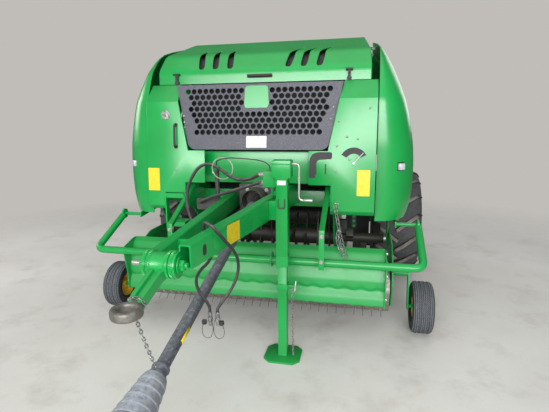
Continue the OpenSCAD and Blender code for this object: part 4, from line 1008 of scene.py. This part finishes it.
fixed("tongue_beams", joined(*tongue_shapes, tie, head_plate), frame_paint, "chassis", "green_paint",
    "drawbar", angle=32)
middle, way, top, high = tongue_at(1, -1.33)
side_out = Matrix((Vector((-way.y, way.x, 0)), up_z, way)).transposed().to_4x4()
label_place = Matrix.Translation(middle + way * (tongue_wide / 2)) @ side_out
tongue_label = plate([(-0.085, -0.048), (0.085, -0.056), (0.085, 0.052), (-0.085, 0.058)], 0.001, label_place,
    0.007)
fixed("tongue_label", tongue_label, yellow_film, "chassis", "yellow_paint")
middle, way, top, high = tongue_at(1, -1.66)
slot_place = Matrix.Translation(middle + way * (tongue_wide / 2)) @ side_out
oval = plate(rectangle(-0.018, -0.026, 0.018, 0.026, 0.017, 4), 0.001, slot_place, 0.0006)
fixed("tongue_slot", oval, soft_black, "chassis", "black_plastic")


# The head turns on toothed discs that a bolt clamps. From it a forged beam with a groove drops to the towing
# eye, which is bare forged steel, brown and polished where the hook rubs.
finish = Finish("forged_steel")
scale = finish.noise(34, 7, 0.72)
rubbed = finish.noise(7, 3, 0.5).over(0.58, 0.25)
colour = finish.mixed((124, 123, 116), (88, 82, 72), scale.over(0.48, 0.25))
colour = finish.mixed(colour, (146, 144, 138), rubbed * 0.6)
forged = finish.surface(colour, metallic=0.55 + rubbed * 0.3, roughness=0.62 - rubbed * 0.25,
    normal=finish.bumped(scale, 0.002))
worn_paint = green_paint("worn_paint", 0.45, 0.25, 0.9)
head_at, head_half, head_r = Vector((0, -1.8, 1.072)), 0.07, 0.062


def outward(a):
    """The way out from an axis along X, at this angle."""
    return Vector((0, math.cos(a), math.sin(a)))


teeth = []
for way in [outward(a) for a in turns(40)]:
    turn = Matrix((across_x, way.cross(across_x), way)).transposed().to_4x4()
    for x in (-0.061, -0.043, 0.043, 0.061):
        spot = Matrix.Translation(head_at + across_x * x + way * (head_r - 0.003)) @ turn
        teeth.append(skin([[spot @ Vector((su * u, sv * v, w))
            for su, sv in ((-1, -1), (1, -1), (1, 1), (-1, 1))]
            for u, v, w in ((0.006, 0.0036, 0), (0.005, 0.0015, 0.003))]))
head_profile = rounded([(-head_half, 0.0), (-head_half, 0.059), (-0.053, 0.059), (-0.052, 0.051),
    (-0.05, 0.051), (-0.049, 0.059), (-0.034, 0.059), (-0.03, 0.054), (0.03, 0.054), (0.034, 0.059),
    (0.049, 0.059), (0.05, 0.051), (0.052, 0.051), (0.053, 0.059), (head_half, 0.059), (head_half, 0.0)],
    0.0012, 2)
head = turned(head_profile, head_at, across_x, 64)
drop_top, drop_foot = Vector((0, -1.83, 1.052)), Vector((0, -2.036, 0.985))
drop_way = (drop_foot - drop_top).normalized()
drop_up = drop_way.cross(across_x).normalized()
if drop_up.z < 0:
    drop_up = -drop_up
groove = rounded([(-0.037, -0.025), (0.037, -0.025), (0.037, 0.025), (0.013, 0.025), (0.008, 0.01),
    (-0.008, 0.01), (-0.013, 0.025), (-0.037, 0.025)], 0.0045, 3, True)


def drop_ring(share, scale_x=1.0, scale_z=1.0):
    spot = drop_top.lerp(drop_foot, share)
    return [spot + across_x * u * scale_x + drop_up * v * scale_z for u, v in groove]


drop = skin([drop_ring(0), drop_ring(0.12), drop_ring(0.22, 0.88), drop_ring(0.8, 0.84),
    drop_ring(0.9, 0.76, 0.88), drop_ring(1.0, 0.64, 0.72)])
fixed("towing_head", joined(head, drop, *teeth), worn_paint, "chassis", "green_paint", "hitch", angle=32)
eye_at = Vector((0, -2.09, 0.985))
eye_ring = hoop(rectangle(-0.02, 0.0345, 0.02, 0.0605, 0.0125, 5), eye_at, up_z, 72)
neck = turned([(0.0, 0.024), (0.012, 0.022), (0.024, 0.0225)], eye_at + Vector((0, 0.04, 0.0)),
    (0, 1, 0.28), 28)
fixed("towing_eye", joined(eye_ring, neck), forged, "chassis", "bare_steel", "hitch", angle=40)
hex_profile = [(0, 0.0), (0, 0.0255), (0.018, 0.0255), (0.02, 0.022), (0.02, 0.0)]
bolt = turned([(-0.14, 0.0), (-0.14, 0.0095), (-0.137, 0.012), (-0.07, 0.012), (-0.07, 0.0)], head_at,
    across_x, 32)
disc_profile = [(0, 0.0), (0, 0.04), (0.006, 0.04), (0.006, 0.0)]
end_profile = [(0.107, 0.0), (0.107, 0.013), (0.118, 0.013), (0.12, 0.0105), (0.12, 0.0)]
nuts = joined(*[turned(profile, head_at + across_x * x, across_x, corners)
    for profile, x, corners in ((hex_profile, -0.096, 6), (disc_profile, -0.0765, 32),
    (disc_profile, 0.0825, 32), (hex_profile, 0.088, 6), (end_profile, 0, 32))])
fixed("head_nuts", nuts, worn_paint, "chassis", "green_paint", "hitch", angle=30)
fixed("head_bolt", bolt, plated, "chassis", "bare_steel", "hitch", angle=30)


# Chains: zinc-plated links, each turned a quarter from the last. One hangs from the towing eye to the drive
# shaft's guard, one holds the windguard, and one hangs from the jack's pin.
def link(length, width, wire):
    """One link round the Z axis, its wire bent from two straight runs and two half circles."""
    half, bend = length / 2 - width / 2, width / 2 - wire / 2
    line = [(bend * math.cos(a), half + bend * math.sin(a)) for a in [math.pi * k / 7 for k in range(8)]]
    line += [(-x, -z) for x, z in line]
    rings = []
    for i, (x, z) in enumerate(line):
        (ahead_x, ahead_z), (behind_x, behind_z) = line[(i + 1) % len(line)], line[i - 1]
        out = Vector((ahead_x - behind_x, 0, ahead_z - behind_z)).normalized().cross(Vector((0, 1, 0)))
        rings.append(ring(Vector((x, 0, z)), wire / 2, out, Vector((0, 1, 0)), 6))
    return skin(rings + rings[:1], False)


def chain(name, line, length, width, wire, body, *stood_for):
    line = [Vector(p) for p in line]
    total = length_of(line)
    count = round(total / (length - 2 * wire))
    places = []
    for i in range(count):
        goal, gone = (i + 0.5) / count * total, 0.0
        for a, b in zip(line, line[1:]):
            step = (b - a).length
            if gone + step >= goal:
                way = (b - a).normalized()
                side = way.orthogonal().normalized()
                places.append((a + way * (goal - gone), way.cross(side) if i % 2 else side, way))
                break
            gone += step
    return belongs(copies(name, link(length, width, wire), places, dull_zinc), body, "bare_steel", *stood_for)


neck = drop_top.lerp(drop_foot, 0.93)
neck_loop = ring(neck, 1, across_x * 0.0345, drop_up * 0.03, 24)
chain("neck_chain", neck_loop + neck_loop[:1], 0.024, 0.0125, 0.0034, "chassis")
chain("eye_chain", [(0, -2.04, 0.952), (0, -1.986, 0.81), (0, -1.917, 0.655)], 0.03, 0.0155, 0.0046,
    "chassis", "hitch_chain")
guard_chain_line = curve_through([(0.636, -0.236, 1.05), (0.65, -0.262, 0.985), (0.672, -0.318, 0.9),
    (0.7, -0.37, 0.8), (0.726, -0.42, 0.728), (0.742, -0.458, 0.706)], 8)
second_strand = curve_through([(0.676, -0.345, 0.88), (0.668, -0.372, 0.82), (0.69, -0.395, 0.745),
    (0.716, -0.43, 0.706), (0.738, -0.452, 0.69)], 8)
chain("windguard_chain", guard_chain_line, 0.052, 0.031, 0.0066, "chassis")
chain("windguard_chain_end", second_strand, 0.052, 0.031, 0.0066, "chassis")
chain("jack_chain", [(0.384, -0.69, 0.528), (0.386, -0.7, 0.3), (0.392, -0.705, 0.03)], 0.03, 0.0165, 0.0044,
    "jack_leg")


# The drive shaft's guard is dark plastic: a tube with a collar ring, and a ribbed cone over the front joint.
finish = Finish("guard_plastic")
scuff, dust = finish.noise(70, 6, 0.72), finish.noise(6, 4, 0.6).over(0.45, 0.6)
dusted = finish.part("Z", finish.facing).over(0.75, 0.6) * finish.noise(48, 6, 0.7).over(0.5, 0.3)
colour = finish.mixed((50, 52, 58), (138, 140, 148), (dust * 0.25 + dusted * 0.55).clamped())
colour = finish.mixed(colour, (168, 168, 172), scuff.over(0.6, 0.1) * 0.45)
# The cone is paler with dust, and its ridge faces that look up also carry a painted highlight.
cone_dust_and_highlight = (finish.part("Y") * -1).over(1.925, 0.02) * (0.35 + dusted * 0.65)
colour = finish.mixed(colour, (172, 176, 184), cone_dust_and_highlight.clamped())
guard_dark = finish.surface(colour, roughness=0.5 + dust * 0.2, normal=finish.bumped(scuff, 0.0012))
shaft_at, shaft_slope = Vector((0, -0.3, 1.04)), math.radians(15.1)
shaft_way = Vector((0, -math.cos(shaft_slope), -math.sin(shaft_slope)))
shaft_long = (2.25 - 0.3 - 0.034 * math.sin(shaft_slope)) / math.cos(shaft_slope)
cone_at = shaft_long - 0.13 - 0.2
ribs = []
for k in range(5):
    ribs += [(cone_at + 0.044 * k, 0.052 + 0.006 * k), (cone_at + 0.044 * k + 0.036, 0.062 + 0.006 * k),
        (cone_at + 0.044 * k + 0.0435, 0.0635 + 0.006 * k)]
outer = [(0.03, 0.0245), (0.03, 0.038), (0.08, 0.038), (0.083, 0.034), (0.62, 0.034), (0.623, 0.0315),
    (cone_at - 0.062, 0.0315), (cone_at - 0.058, 0.041), (cone_at - 0.045, 0.0415), (cone_at - 0.042, 0.037),
    (cone_at - 0.022, 0.037), (cone_at - 0.019, 0.0415), (cone_at - 0.004, 0.0415)] + ribs
inner = [(cone_at + 0.2195, 0.084), (cone_at + 0.2, 0.048), (cone_at + 0.01, 0.047), (cone_at + 0.006, 0.028),
    (0.06, 0.028), (0.058, 0.0245)]
guard = hoop(rounded(outer + inner, 0.0025, 3, True), shaft_at, shaft_way, 56)
fixed("shaft_guard", guard, guard_dark, "chassis", "black_plastic", "drive_guard", angle=30)
softened("drive_shaft", bright_steel, "bare_steel", 0.002)
strip_turns = [math.radians(a) for a in range(-24, 25, 8)]
guard_side, guard_over = across_x, across_x.cross(shaft_way)
strip_at = (Vector((0, -1.66, 0.627)) - shaft_at).dot(shaft_way)
strip = open_grid([[shaft_at + shaft_way * d + 0.0326 * (math.cos(a) * guard_side + math.sin(a) * guard_over)
    for a in strip_turns] for d in (strip_at - 0.05, strip_at + 0.05)])
belongs(thickened(piece_of("guard_label", strip, yellow_film), 0.0012, 0.0), "chassis", "yellow_paint")


# The jack stands at the tongue's right beam: a square tube with a gear head and a bracket, and a square leg
# in it with a collar, a foot plate and a pin. A bent bright crank hangs at the gear head.
jack_x, jack_y = 0.312, -0.667
softened("jack_tube", frame_paint, "green_paint", 0.005)
softened("jack_leg", frame_paint, "green_paint", 0.004)


def square_block(x, y, low, high, wide, deep, corner=0.007, cut=0.004):
    """An upright block of rounded section whose ends are bevelled."""
    return box_tube([((x, y, z), across_x, ahead, wide - less, deep - less)
        for z, less in ((low, cut), (low + 0.002, 0), (high - 0.002, 0), (high, cut))], corner)


collars = joined(*[square_block(jack_x, jack_y, *sizes) for sizes in ((0.69, 0.77, 0.0865, 0.0865),
    (1.3, 1.316, 0.09, 0.09), (1.396, 1.406, 0.13, 0.106, 0.008))])
fixed("jack_collars", collars, frame_paint, "chassis", "green_paint")
facing_back = Matrix.Rotation(math.pi / 2, 4, "X")
jack_plate = plate(rectangle(-0.029, 1.262, 0.029, 1.292, 0.003), 0.001,
    Matrix.Translation((jack_x, jack_y, 0)) @ facing_back, 0.0406)
fixed("jack_plate", jack_plate, white_film, "chassis", "bare_steel")
staple = rounded([(jack_x + x, y, z) for x, y, z in ((-0.022, -0.7045, 1.165), (-0.022, -0.712, 1.155),
    (-0.022, -0.712, 1.105), (0.022, -0.712, 1.105), (0.022, -0.712, 1.155), (0.022, -0.7045, 1.165))],
    0.01, 4)
fixed("jack_staple", pipe(staple, 0.0045, 10), satin_black, "chassis", "black_paint")
crank = rounded([(jack_x + x, jack_y, z) for x, z in ((0.0625, 1.4), (0.112, 1.4), (0.112, 1.156),
    (0.202, 1.156))], 0.03, 6)
crank_grip = turned([(0, 0.008), (0.004, 0.0105), (0.06, 0.0105), (0.064, 0.008)],
    (jack_x + 0.14, jack_y, 1.156), (1, 0, 0), 20)
fixed("crank_bent", joined(pipe(crank, 0.0078, 14), crank_grip), plated, "jack_crank", "bare_steel",
    "jack_crank")
pin = joined(turned([(-0.052, 0.0), (-0.052, 0.0055), (0.09, 0.0055), (0.09, 0.0)], (jack_x, jack_y, 0.54),
    (1, 0, 0), 14),
    pipe([(jack_x + 0.086, jack_y - 0.016, 0.51), (jack_x + 0.092, jack_y + 0.004, 0.578)], 0.0055, 10))
fixed("jack_pin", pin, plated, "jack_leg", "bare_steel")


# The guard bar is a green tube bent back at both ends to its pivots. The windguard hangs on it: folded sheet
# with rolled wavy steps and a lip along its foot, between two end plates and with a tab in the middle.
bar_out, bar_r = 1.275, 0.029
bar_line = rounded([(bar_out, -0.084, 0.854), (bar_out, -0.493, 0.665), (-bar_out, -0.493, 0.665),
    (-bar_out, -0.084, 0.854)], 0.075, 8)
pivots = hoop([(-0.007, 0.0165), (-0.007, 0.043), (0.007, 0.043), (0.007, 0.0165)], (bar_out, -0.05, 0.87),
    across_x, 40)
fixed("guard_tube", joined(pipe(bar_line, bar_r, 28), both(pivots)), frame_paint, "windguard", "green_paint",
    "guard_bar")
sheet_line = rounded([(-0.3, 0.735), (-0.352, 0.712), (-0.4, 0.61), (-0.432, 0.52), (-0.436, 0.47),
    (-0.424, 0.45), (-0.452, 0.395), (-0.462, 0.34), (-0.44, 0.332)], 0.012, 3)
guard_half = 1.02
sheet_rows = []
for y, z in sheet_line:
    near_step = math.exp(-((z - 0.462) / 0.022) ** 2)
    near_foot = math.exp(-((z - 0.338) / 0.016) ** 2)
    row = []
    for k in range(137):
        x = -guard_half + 2 * guard_half * k / 136
        wave = math.sin(2 * math.pi * x / 0.118)
        row.append(Vector((x, y + 0.0018 * wave * near_step,
            z + (0.0062 * near_step + 0.0018 * near_foot) * wave)))
    sheet_rows.append(row)
guard_paint = green_paint("guard_paint", 0.3, 0.45, 0.25, 0.06)
windguard = thickened(piece_of("windguard_sheet", open_grid(sheet_rows), guard_paint), 0.0045)
smooth_but(windguard, 30)
belongs(windguard, "windguard", "green_paint", "windguard")
end_plate = [(-0.5, 0.7), (-0.36, 0.735), (-0.3, 0.735), (-0.352, 0.64), (-0.4, 0.47), (-0.436, 0.345),
    (-0.47, 0.33), (-0.475, 0.48), (-0.505, 0.62)]
tab_plate = [(-0.44, 0.64), (-0.448, 0.706), (-0.492, 0.728), (-0.534, 0.704), (-0.542, 0.66),
    (-0.524, 0.622), (-0.47, 0.606)]
facing_x = Matrix(((0, 0, 1), (1, 0, 0), (0, 1, 0))).to_4x4()
bar_hole = circle(-0.493, 0.665, bar_r + 0.0006, 36)
ends = [plate(rounded(end_plate, 0.01, 3, True), 0.007, facing_x, s * (guard_half + 0.004), [bar_hole])
    for s in (-1, 1)]
tab = plate(rounded(tab_plate, 0.008, 3, True), 0.008, facing_x, 0.196, [bar_hole])
fixed("windguard_plates", joined(*ends, tab), frame_paint, "windguard", "green_paint")
plate_bolts = [(Vector((s * (guard_half + 0.008), y, z)), up_z, across_x * s) for s in (-1, 1)
    for y, z in ((-0.455, 0.4), (-0.47, 0.585), (-0.345, 0.712))]
belongs(copies("windguard_bolts", bolt_head, plate_bolts, plated), "windguard", "bare_steel")


# Two steps lead up on the left. Each tread is folded sheet with saw teeth along its front lip, and they hang
# between the chassis and one upright plate.
treads = []
step_left, step_right, tooth_wide = -0.775, -0.616, 0.01445
for low, high in ((1.062, 1.096), (0.816, 0.85)):
    teeth_line = [(step_left, high - 0.001)]
    for k in range(11):
        teeth_line += [(step_left + tooth_wide * k, low), (step_left + tooth_wide * (k + 0.5), low - 0.009)]
    teeth_line += [(step_right, low), (step_right, high - 0.001)]
    rear_lip = [(step_left, high - 0.001), (step_left, low), (step_right, low), (step_right, high - 0.001)]
    treads += [prism(rectangle(step_left, -0.211, step_right, -0.06, 0.003, 2), "Z", high - 0.006, high),
        prism(teeth_line, "Y", -0.2115, -0.207), prism(rear_lip, "Y", -0.066, -0.061)]
    treads += [prism(rectangle(-0.768, y, -0.622, y + 0.007, 0.003, 2), "Z", high - 0.001, high + 0.0022)
        for y in (-0.19, -0.16, -0.13, -0.1)]
upright = plate(rounded([(-0.212, 0.762), (-0.152, 0.786), (-0.152, 1.106), (-0.212, 1.106)], 0.012, 4, True),
    0.011, facing_x, -0.782)
fixed("step_treads", joined(*treads, upright), frame_paint, "chassis", "green_paint", "steps")


# The hoses pass a black post with a plate. A zinc-plated ring on it holds them together.
post_x, post_y = -0.2645, -0.35
post_foot = square_block(post_x + 0.0115, post_y, 0.99, 1.05, 0.057, 0.04, 0.005, 0.003)
hose_plate = plate(rectangle(-0.44, 1.0, post_x, 1.09, 0.012, 4), 0.0118, facing_back, -post_y)
post_tube = turned([(0, 0.0), (0, 0.015), (0.002, 0.017), (0.328, 0.017), (0.33, 0.015), (0.33, 0.0)],
    (post_x, post_y, 0.985), up_z, 28)
fixed("post_black", joined(post_foot, hose_plate, post_tube), satin_black, "chassis", "black_paint",
    "hose_post")
ring_wire = ring(Vector((-0.186, post_y - 0.095, 1.338)), 0.08, across_x, up_z, 48)
post_ring = joined(pipe(ring_wire + ring_wire[:1], 0.004, 10),
    pipe([(post_x, post_y, 1.306), (post_x, post_y - 0.095, 1.306)], 0.005, 12))
fixed("post_ring", post_ring, plated, "chassis", "bare_steel", "hose_post")


# The pickup's frame is green, its bands are bare steel rubbed bright by crop. Its reel carries five bars of
# double spring tines, wound from wire round the bars. The rotor behind it is near black with crop juice and
# painted shade.
softened("pickup_frame", frame_paint, "green_paint", 0.003)
softened("gauge_arms", frame_paint, "green_paint", 0.003)
softened("pickup_bands", bright_steel, "bare_steel", 0.0008)
softened("rotor", stain_and_shade_black, "bare_steel", 0.002)
reel_at = Vector((0, -0.02, 0.34))
reel_reach, reel_path, tine_tip, tine_pitch = 1.079, 0.145, 0.2985, 0.07
bar_line = [(-reel_reach, 0.013), (-reel_reach + 0.003, 0.016), (reel_reach - 0.003, 0.016),
    (reel_reach, 0.013)]
bars = [turned(bar_line, reel_at + reel_path * outward(a), across_x, 20) for a in turns(5)]
shaft = turned([(-1.097, 0.019), (-1.094, 0.022), (1.094, 0.022), (1.097, 0.019)], reel_at, across_x, 32)
spiders = [hoop([(side * d, r) for d, r in rectangle(1.071, 0.022, 1.079, 0.17, 0.002, 2)], reel_at,
    across_x, 64) for side in (-1, 1)]
fixed("reel_body", joined(shaft, *bars, *spiders), satin_black, "reel", "black_paint", "reel")
wire_r, coil_r = 0.003, 0.0195
tine_line = []
for side in (-1, 1):
    coil = [Vector((side * (0.01 + 0.019 * k / 30), coil_r * math.sin(2 * math.pi * k / 10),
        coil_r * math.cos(2 * math.pi * k / 10))) for k in range(31)]
    tine_line.append(coil + [Vector((side * x, y, z)) for x, y, z in ((0.033, 0.012, 0.024),
        (0.035, 0.004, 0.06), (0.035, 0.001, 0.1), (0.035, 0.0, tine_tip - reel_path - 0.004))])
whole_tine = tine_line[0][::-1] + [Vector((0, 0.0, 0.0205))] + tine_line[1]
tine_places = [(reel_at + across_x * (2 * i - 14) * tine_pitch + out * reel_path, across_x, out)
    for out in [outward(a) for a in turns(5)] for i in range(15)]
belongs(copies("reel_tines", pipe(whole_tine, wire_r, 6), tine_places, bright_steel), "reel", "bare_steel")


# All tyres are black rubber, grey with dust in the grooves. The small ones have three ribs, the large ones
# slanted lugs. The rims are pressed steel in yellow, dulled by dirt.
finish = Finish("tyre_rubber")
cloud, dust = finish.noise(5, 5, 0.65).over(0.5, 0.5), finish.noise(45, 4, 0.6).over(0.48, 0.5)
colour = finish.mixed((30, 31, 33), (84, 84, 84), (dust * 0.55 + cloud * 0.35).clamped())
tyre_black = finish.surface(colour, roughness=0.72 + dust * 0.15,
    normal=finish.bumped(finish.noise(320, 3), 0.0007))
gauge_out, gauge_y, gauge_z = 1.33, -0.1, 0.207


def about_axle(finish, y, z):
    """Two ways and the distance from a wheel's axle."""
    y, z = finish.part("Y") - y, finish.part("Z") - z
    return y, z, (y * y + z * z) ** 0.5


# The large tyres' lugs are pale with dried dirt where they stand out from the carcass. The small tyres' tread
# has fine zigzag ribs, pale where they touch the ground.
finish = Finish("lug_rubber")
from_axle = about_axle(finish, road_y, road_z)[2]
off = (finish.part("X").math("ABSOLUTE") - road_out).math("ABSOLUTE")
high = (from_axle + off * off * 0.62).over(0.57, 0.012)
cloud = finish.noise(13, 6, 0.7).over(0.45, 0.5)
colour = finish.mixed((26, 26, 28), (134, 126, 118), high * (0.35 + cloud * 0.65))
lug_black = finish.surface(colour, roughness=0.78, normal=finish.bumped(finish.noise(180, 4), 0.0012))
finish = Finish("ribbed_rubber")
y, z, from_axle = about_axle(finish, gauge_y, gauge_z)
zigzag = (y.math("ARCTAN2", z) * 24).math("PINGPONG", 1.0)
wave = (finish.part("X") * 420 + zigzag * 2.2).math("SINE") * 0.5 + 0.5
tread = from_axle.over(0.186, 0.01)
cloud = finish.noise(60, 5, 0.7).over(0.5, 0.4)
colour = finish.mixed((28, 29, 31), (128, 132, 138), (tread * wave * (0.3 + cloud * 0.7)).clamped())
ribbed_black = finish.surface(colour, roughness=0.7, normal=finish.bumped(wave * tread, 0.004))
rim_yellow = soiled("rim_paint", (224, 176, 18), (120, 98, 52), (9, 6, 0.7), (0.52, 0.4), 0.7, (0.35, 0.4),
    (200, 2), 0.0004, coat_weight=0.3)
small_half = [(0.0605, 0.106), (0.066, 0.109), (0.074, 0.122), (0.0805, 0.142), (0.082, 0.16),
    (0.0795, 0.178), (0.072, 0.193), (0.062, 0.201), (0.05, 0.2045), (0.042, 0.2048), (0.0365, 0.203),
    (0.0335, 0.1975), (0.0265, 0.1975), (0.0235, 0.203), (0.018, 0.2048), (0.006, 0.2048), (0.0035, 0.2005),
    (0.0, 0.2005)]
small_line = [(-d, r) for d, r in small_half] + small_half[-2::-1] + [(d, 0.1055) for d in (0.03, 0.0, -0.03)]
large_half = [(0.1995, 0.287), (0.208, 0.292), (0.218, 0.312), (0.233, 0.35), (0.2435, 0.395), (0.247, 0.432),
    (0.244, 0.465), (0.233, 0.497), (0.212, 0.522), (0.18, 0.538), (0.13, 0.5455), (0.06, 0.5478),
    (0.0, 0.548)]
large_line = [(-d, r) for d, r in large_half] + large_half[-2::-1] + [(d, 0.2868) for d in (0.1, 0.0, -0.1)]
small_rim = rounded([(-0.06, 0.1045), (-0.06, 0.1), (-0.05, 0.097), (-0.03, 0.096), (-0.022, 0.088),
    (0.022, 0.088), (0.03, 0.096), (0.05, 0.097), (0.06, 0.1), (0.06, 0.1045)], 0.003, 3)
large_rim = rounded([(-0.199, 0.2855), (-0.199, 0.268), (-0.18, 0.272), (-0.14, 0.27), (-0.118, 0.24),
    (0.0, 0.238), (0.1, 0.24), (0.125, 0.27), (0.18, 0.272), (0.199, 0.268), (0.199, 0.2855)], 0.008, 4)
small_dish = rounded([(-0.044, 0.0155), (-0.044, 0.033), (-0.004, 0.034), (-0.008, 0.05), (0.004, 0.066),
    (0.0, 0.0885), (0.004, 0.0885), (0.008, 0.066), (-0.004, 0.05), (0.002, 0.034), (0.04, 0.033),
    (0.04, 0.0155)], 0.0015, 2)
large_dish = rounded([(0.044, 0.0), (0.044, 0.0465), (-0.06, 0.0465), (-0.06, 0.09), (-0.012, 0.09),
    (-0.012, 0.15), (0.0, 0.17), (0.016, 0.205), (0.01, 0.2385), (0.02, 0.2385), (0.026, 0.205),
    (0.012, 0.17), (0.004, 0.14), (0.019, 0.12), (0.019, 0.072), (0.05, 0.062), (0.052, 0.0)], 0.003, 2)
lug_turn = math.radians(36)
lug_end = (0.25 - 0.002) / math.cos(lug_turn)


def carcass_radius(d):
    line = large_half[::-1]
    return along_table([(x, r) for x, r in line if r > 0.43], min(abs(d), 0.246))


def lug_shape():
    """One slanted lug of the right-hand run, from the middle of the tread over the shoulder."""
    rings = []
    tops = [(0.0, 0.5845), (0.1134, 0.578), (0.184, 0.5615), (0.2545, 0.548), (0.29, 0.516), (0.3025, 0.5)]
    for k in range(17):
        way = 0.004 + (lug_end - 0.008) * k / 16
        top = along_table(tops, way)
        foot = carcass_radius(way * math.cos(lug_turn) - 0.01) - 0.006
        wide = 0.015 + 0.0035 * k / 16
        section = [(-wide - 0.0045, foot), (-wide, top - 0.003), (-wide + 0.003, top), (wide - 0.003, top),
            (wide, top - 0.003), (wide + 0.0045, foot)]
        row = []
        for across, up in section:
            x = -0.01 + way * math.cos(lug_turn) - across * math.sin(lug_turn)
            y = way * math.sin(lug_turn) + across * math.cos(lug_turn)
            bend = y / 0.53
            row.append(Vector((x, up * math.sin(bend), up * math.cos(bend))))
        rings.append(row)
    return skin(rings)


one_lug = lug_shape()


def bolt_circle(middle, radius, count, out):
    return [(middle + radius * outward(a), up_z.cross(out), out) for a in turns(count)]


nut = stacked(([(0, 0.019), (0.003, 0.019)], 20), ([(0.002, 0.0145), (0.016, 0.0145), (0.018, 0.012)], 6),
    ([(0.016, 0.0085), (0.026, 0.0085), (0.027, 0.007)], 12))
for side, name in left_right:
    out = across_x * side
    wheel, hub = "wheel_" + name, Vector((side * road_out, road_y, road_z))
    fixed("tyre_carcass_" + name, hoop(large_line, hub, out, 128), tyre_black, wheel, "tyre", "tyre_" + name,
        angle=40)
    for label, lug, shift in (("outer", one_lug, 0), ("inner", mirrored(one_lug), 0.5)):
        lug_turns = [-2 * math.pi * (k + shift) / 16 * side for k in range(16)]
        lug_places = [(hub, out, Vector((0, math.sin(a), math.cos(a)))) for a in lug_turns]
        belongs(copies("tyre_lugs_%s_%s" % (label, name), lug, lug_places, lug_black), wheel, "tyre")
    rim = joined(hoop(large_rim, hub, out, 96), turned(large_dish, hub, out, 96, False))
    fixed("rim_pressed_" + name, rim, rim_yellow, wheel, "yellow_paint", "rim_" + name, angle=32)
    nut_places = bolt_circle(hub + out * 0.019, 0.103, 8, out)
    belongs(copies("wheel_nuts_" + name, nut, nut_places, plated), wheel, "bare_steel")
    wheel, hub = "gauge_" + name, Vector((side * gauge_out, gauge_y, gauge_z))
    fixed("gauge_rubber_" + name, hoop(small_line, hub, out, 96), ribbed_black, wheel, "tyre",
        "gauge_tyre_" + name, angle=40)
    rim = joined(hoop(small_rim, hub, out, 64), hoop(small_dish, hub, out, 64))
    fixed("gauge_pressed_" + name, rim, rim_yellow, wheel, "yellow_paint", "gauge_rim_" + name, angle=32)
    nut_places = bolt_circle(hub + out * 0.003, 0.05, 5, out)
    belongs(copies("gauge_nuts_" + name, bolt_head, nut_places, plated), wheel, "bare_steel")


# The tailgate is plate like the walls, with painted covers over it and rollers in it. Its two cylinders have
# black barrels and chromed rods. The lamps stand on boards at the foot of the covers.
softened("gate_walls", frame_paint, "green_paint", 0.003)
softened("gate_shell", frame_paint, "green_paint", 0.002)
softened("gate_rollers", bright_steel, "bare_steel", 0.0012)
softened("bale_ramp", frame_paint, "green_paint", 0.003)
polished = soiled("chrome", (214, 216, 220), (150, 148, 142), (26, 4, 0.6), (0.5, 0.6), 0.5, (0.12, 0.18),
    None, 0.0001, (0.95, 0))
boards = joined(prism(rectangle(0.62, 1.133, 0.927, 1.237, 0.014, 4), "Y", 1.9, 1.9115),
    prism(rectangle(0.722, 1.142, 0.918, 1.228, 0.012, 4), "Y", 1.911, 1.936))
glasses = []
for x0, x1 in ((0.728, 0.785), (0.789, 0.847), (0.851, 0.912)):
    middle_x, middle_z = (x0 + x1) / 2, 1.185
    glasses.append(skin([[Vector((middle_x + (x - middle_x) * s, y, middle_z + (z - middle_z) * s))
        for x, z in rectangle(x0, 1.149, x1, 1.221, 0.008, 4)] for y, s in ((1.93, 1.0), (1.946, 1.0),
        (1.95, 0.95), (1.9515, 0.85))]))
glasses = joined(*glasses)
for side, name in left_right:
    softened("gate_cover_" + name, panel_paint, "green_paint", 0.014, 14)
    softened("barrel_" + name, satin_black, "black_paint", 0.003)
    softened("rod_" + name, polished, "bare_steel", 0.003)
    fixed("lamp_board_" + name, on_side(side, boards), satin_black, "gate", "black_paint", "rear_lamps")
    fixed("rear_glass_" + name, on_side(side, glasses), red_lens, "gate", "red_lamp", "rear_lamps")


# Under the hood hangs a black sheet that paints the shade in the slots and closes them to the eye.
slot_shade_shape = along_hood(lambda half: [((half - 0.012) * (k - 4) / 4, 0.042 + 0.004 * (k % 2))
    for k in range(9)])
slot_shade_sheet = thickened(piece_of("hood_liner", slot_shade_shape, soft_black, 30), 0.004, 0.0)
belongs(slot_shade_sheet, "hood", "black_plastic")

bpy.context.view_layer.update()
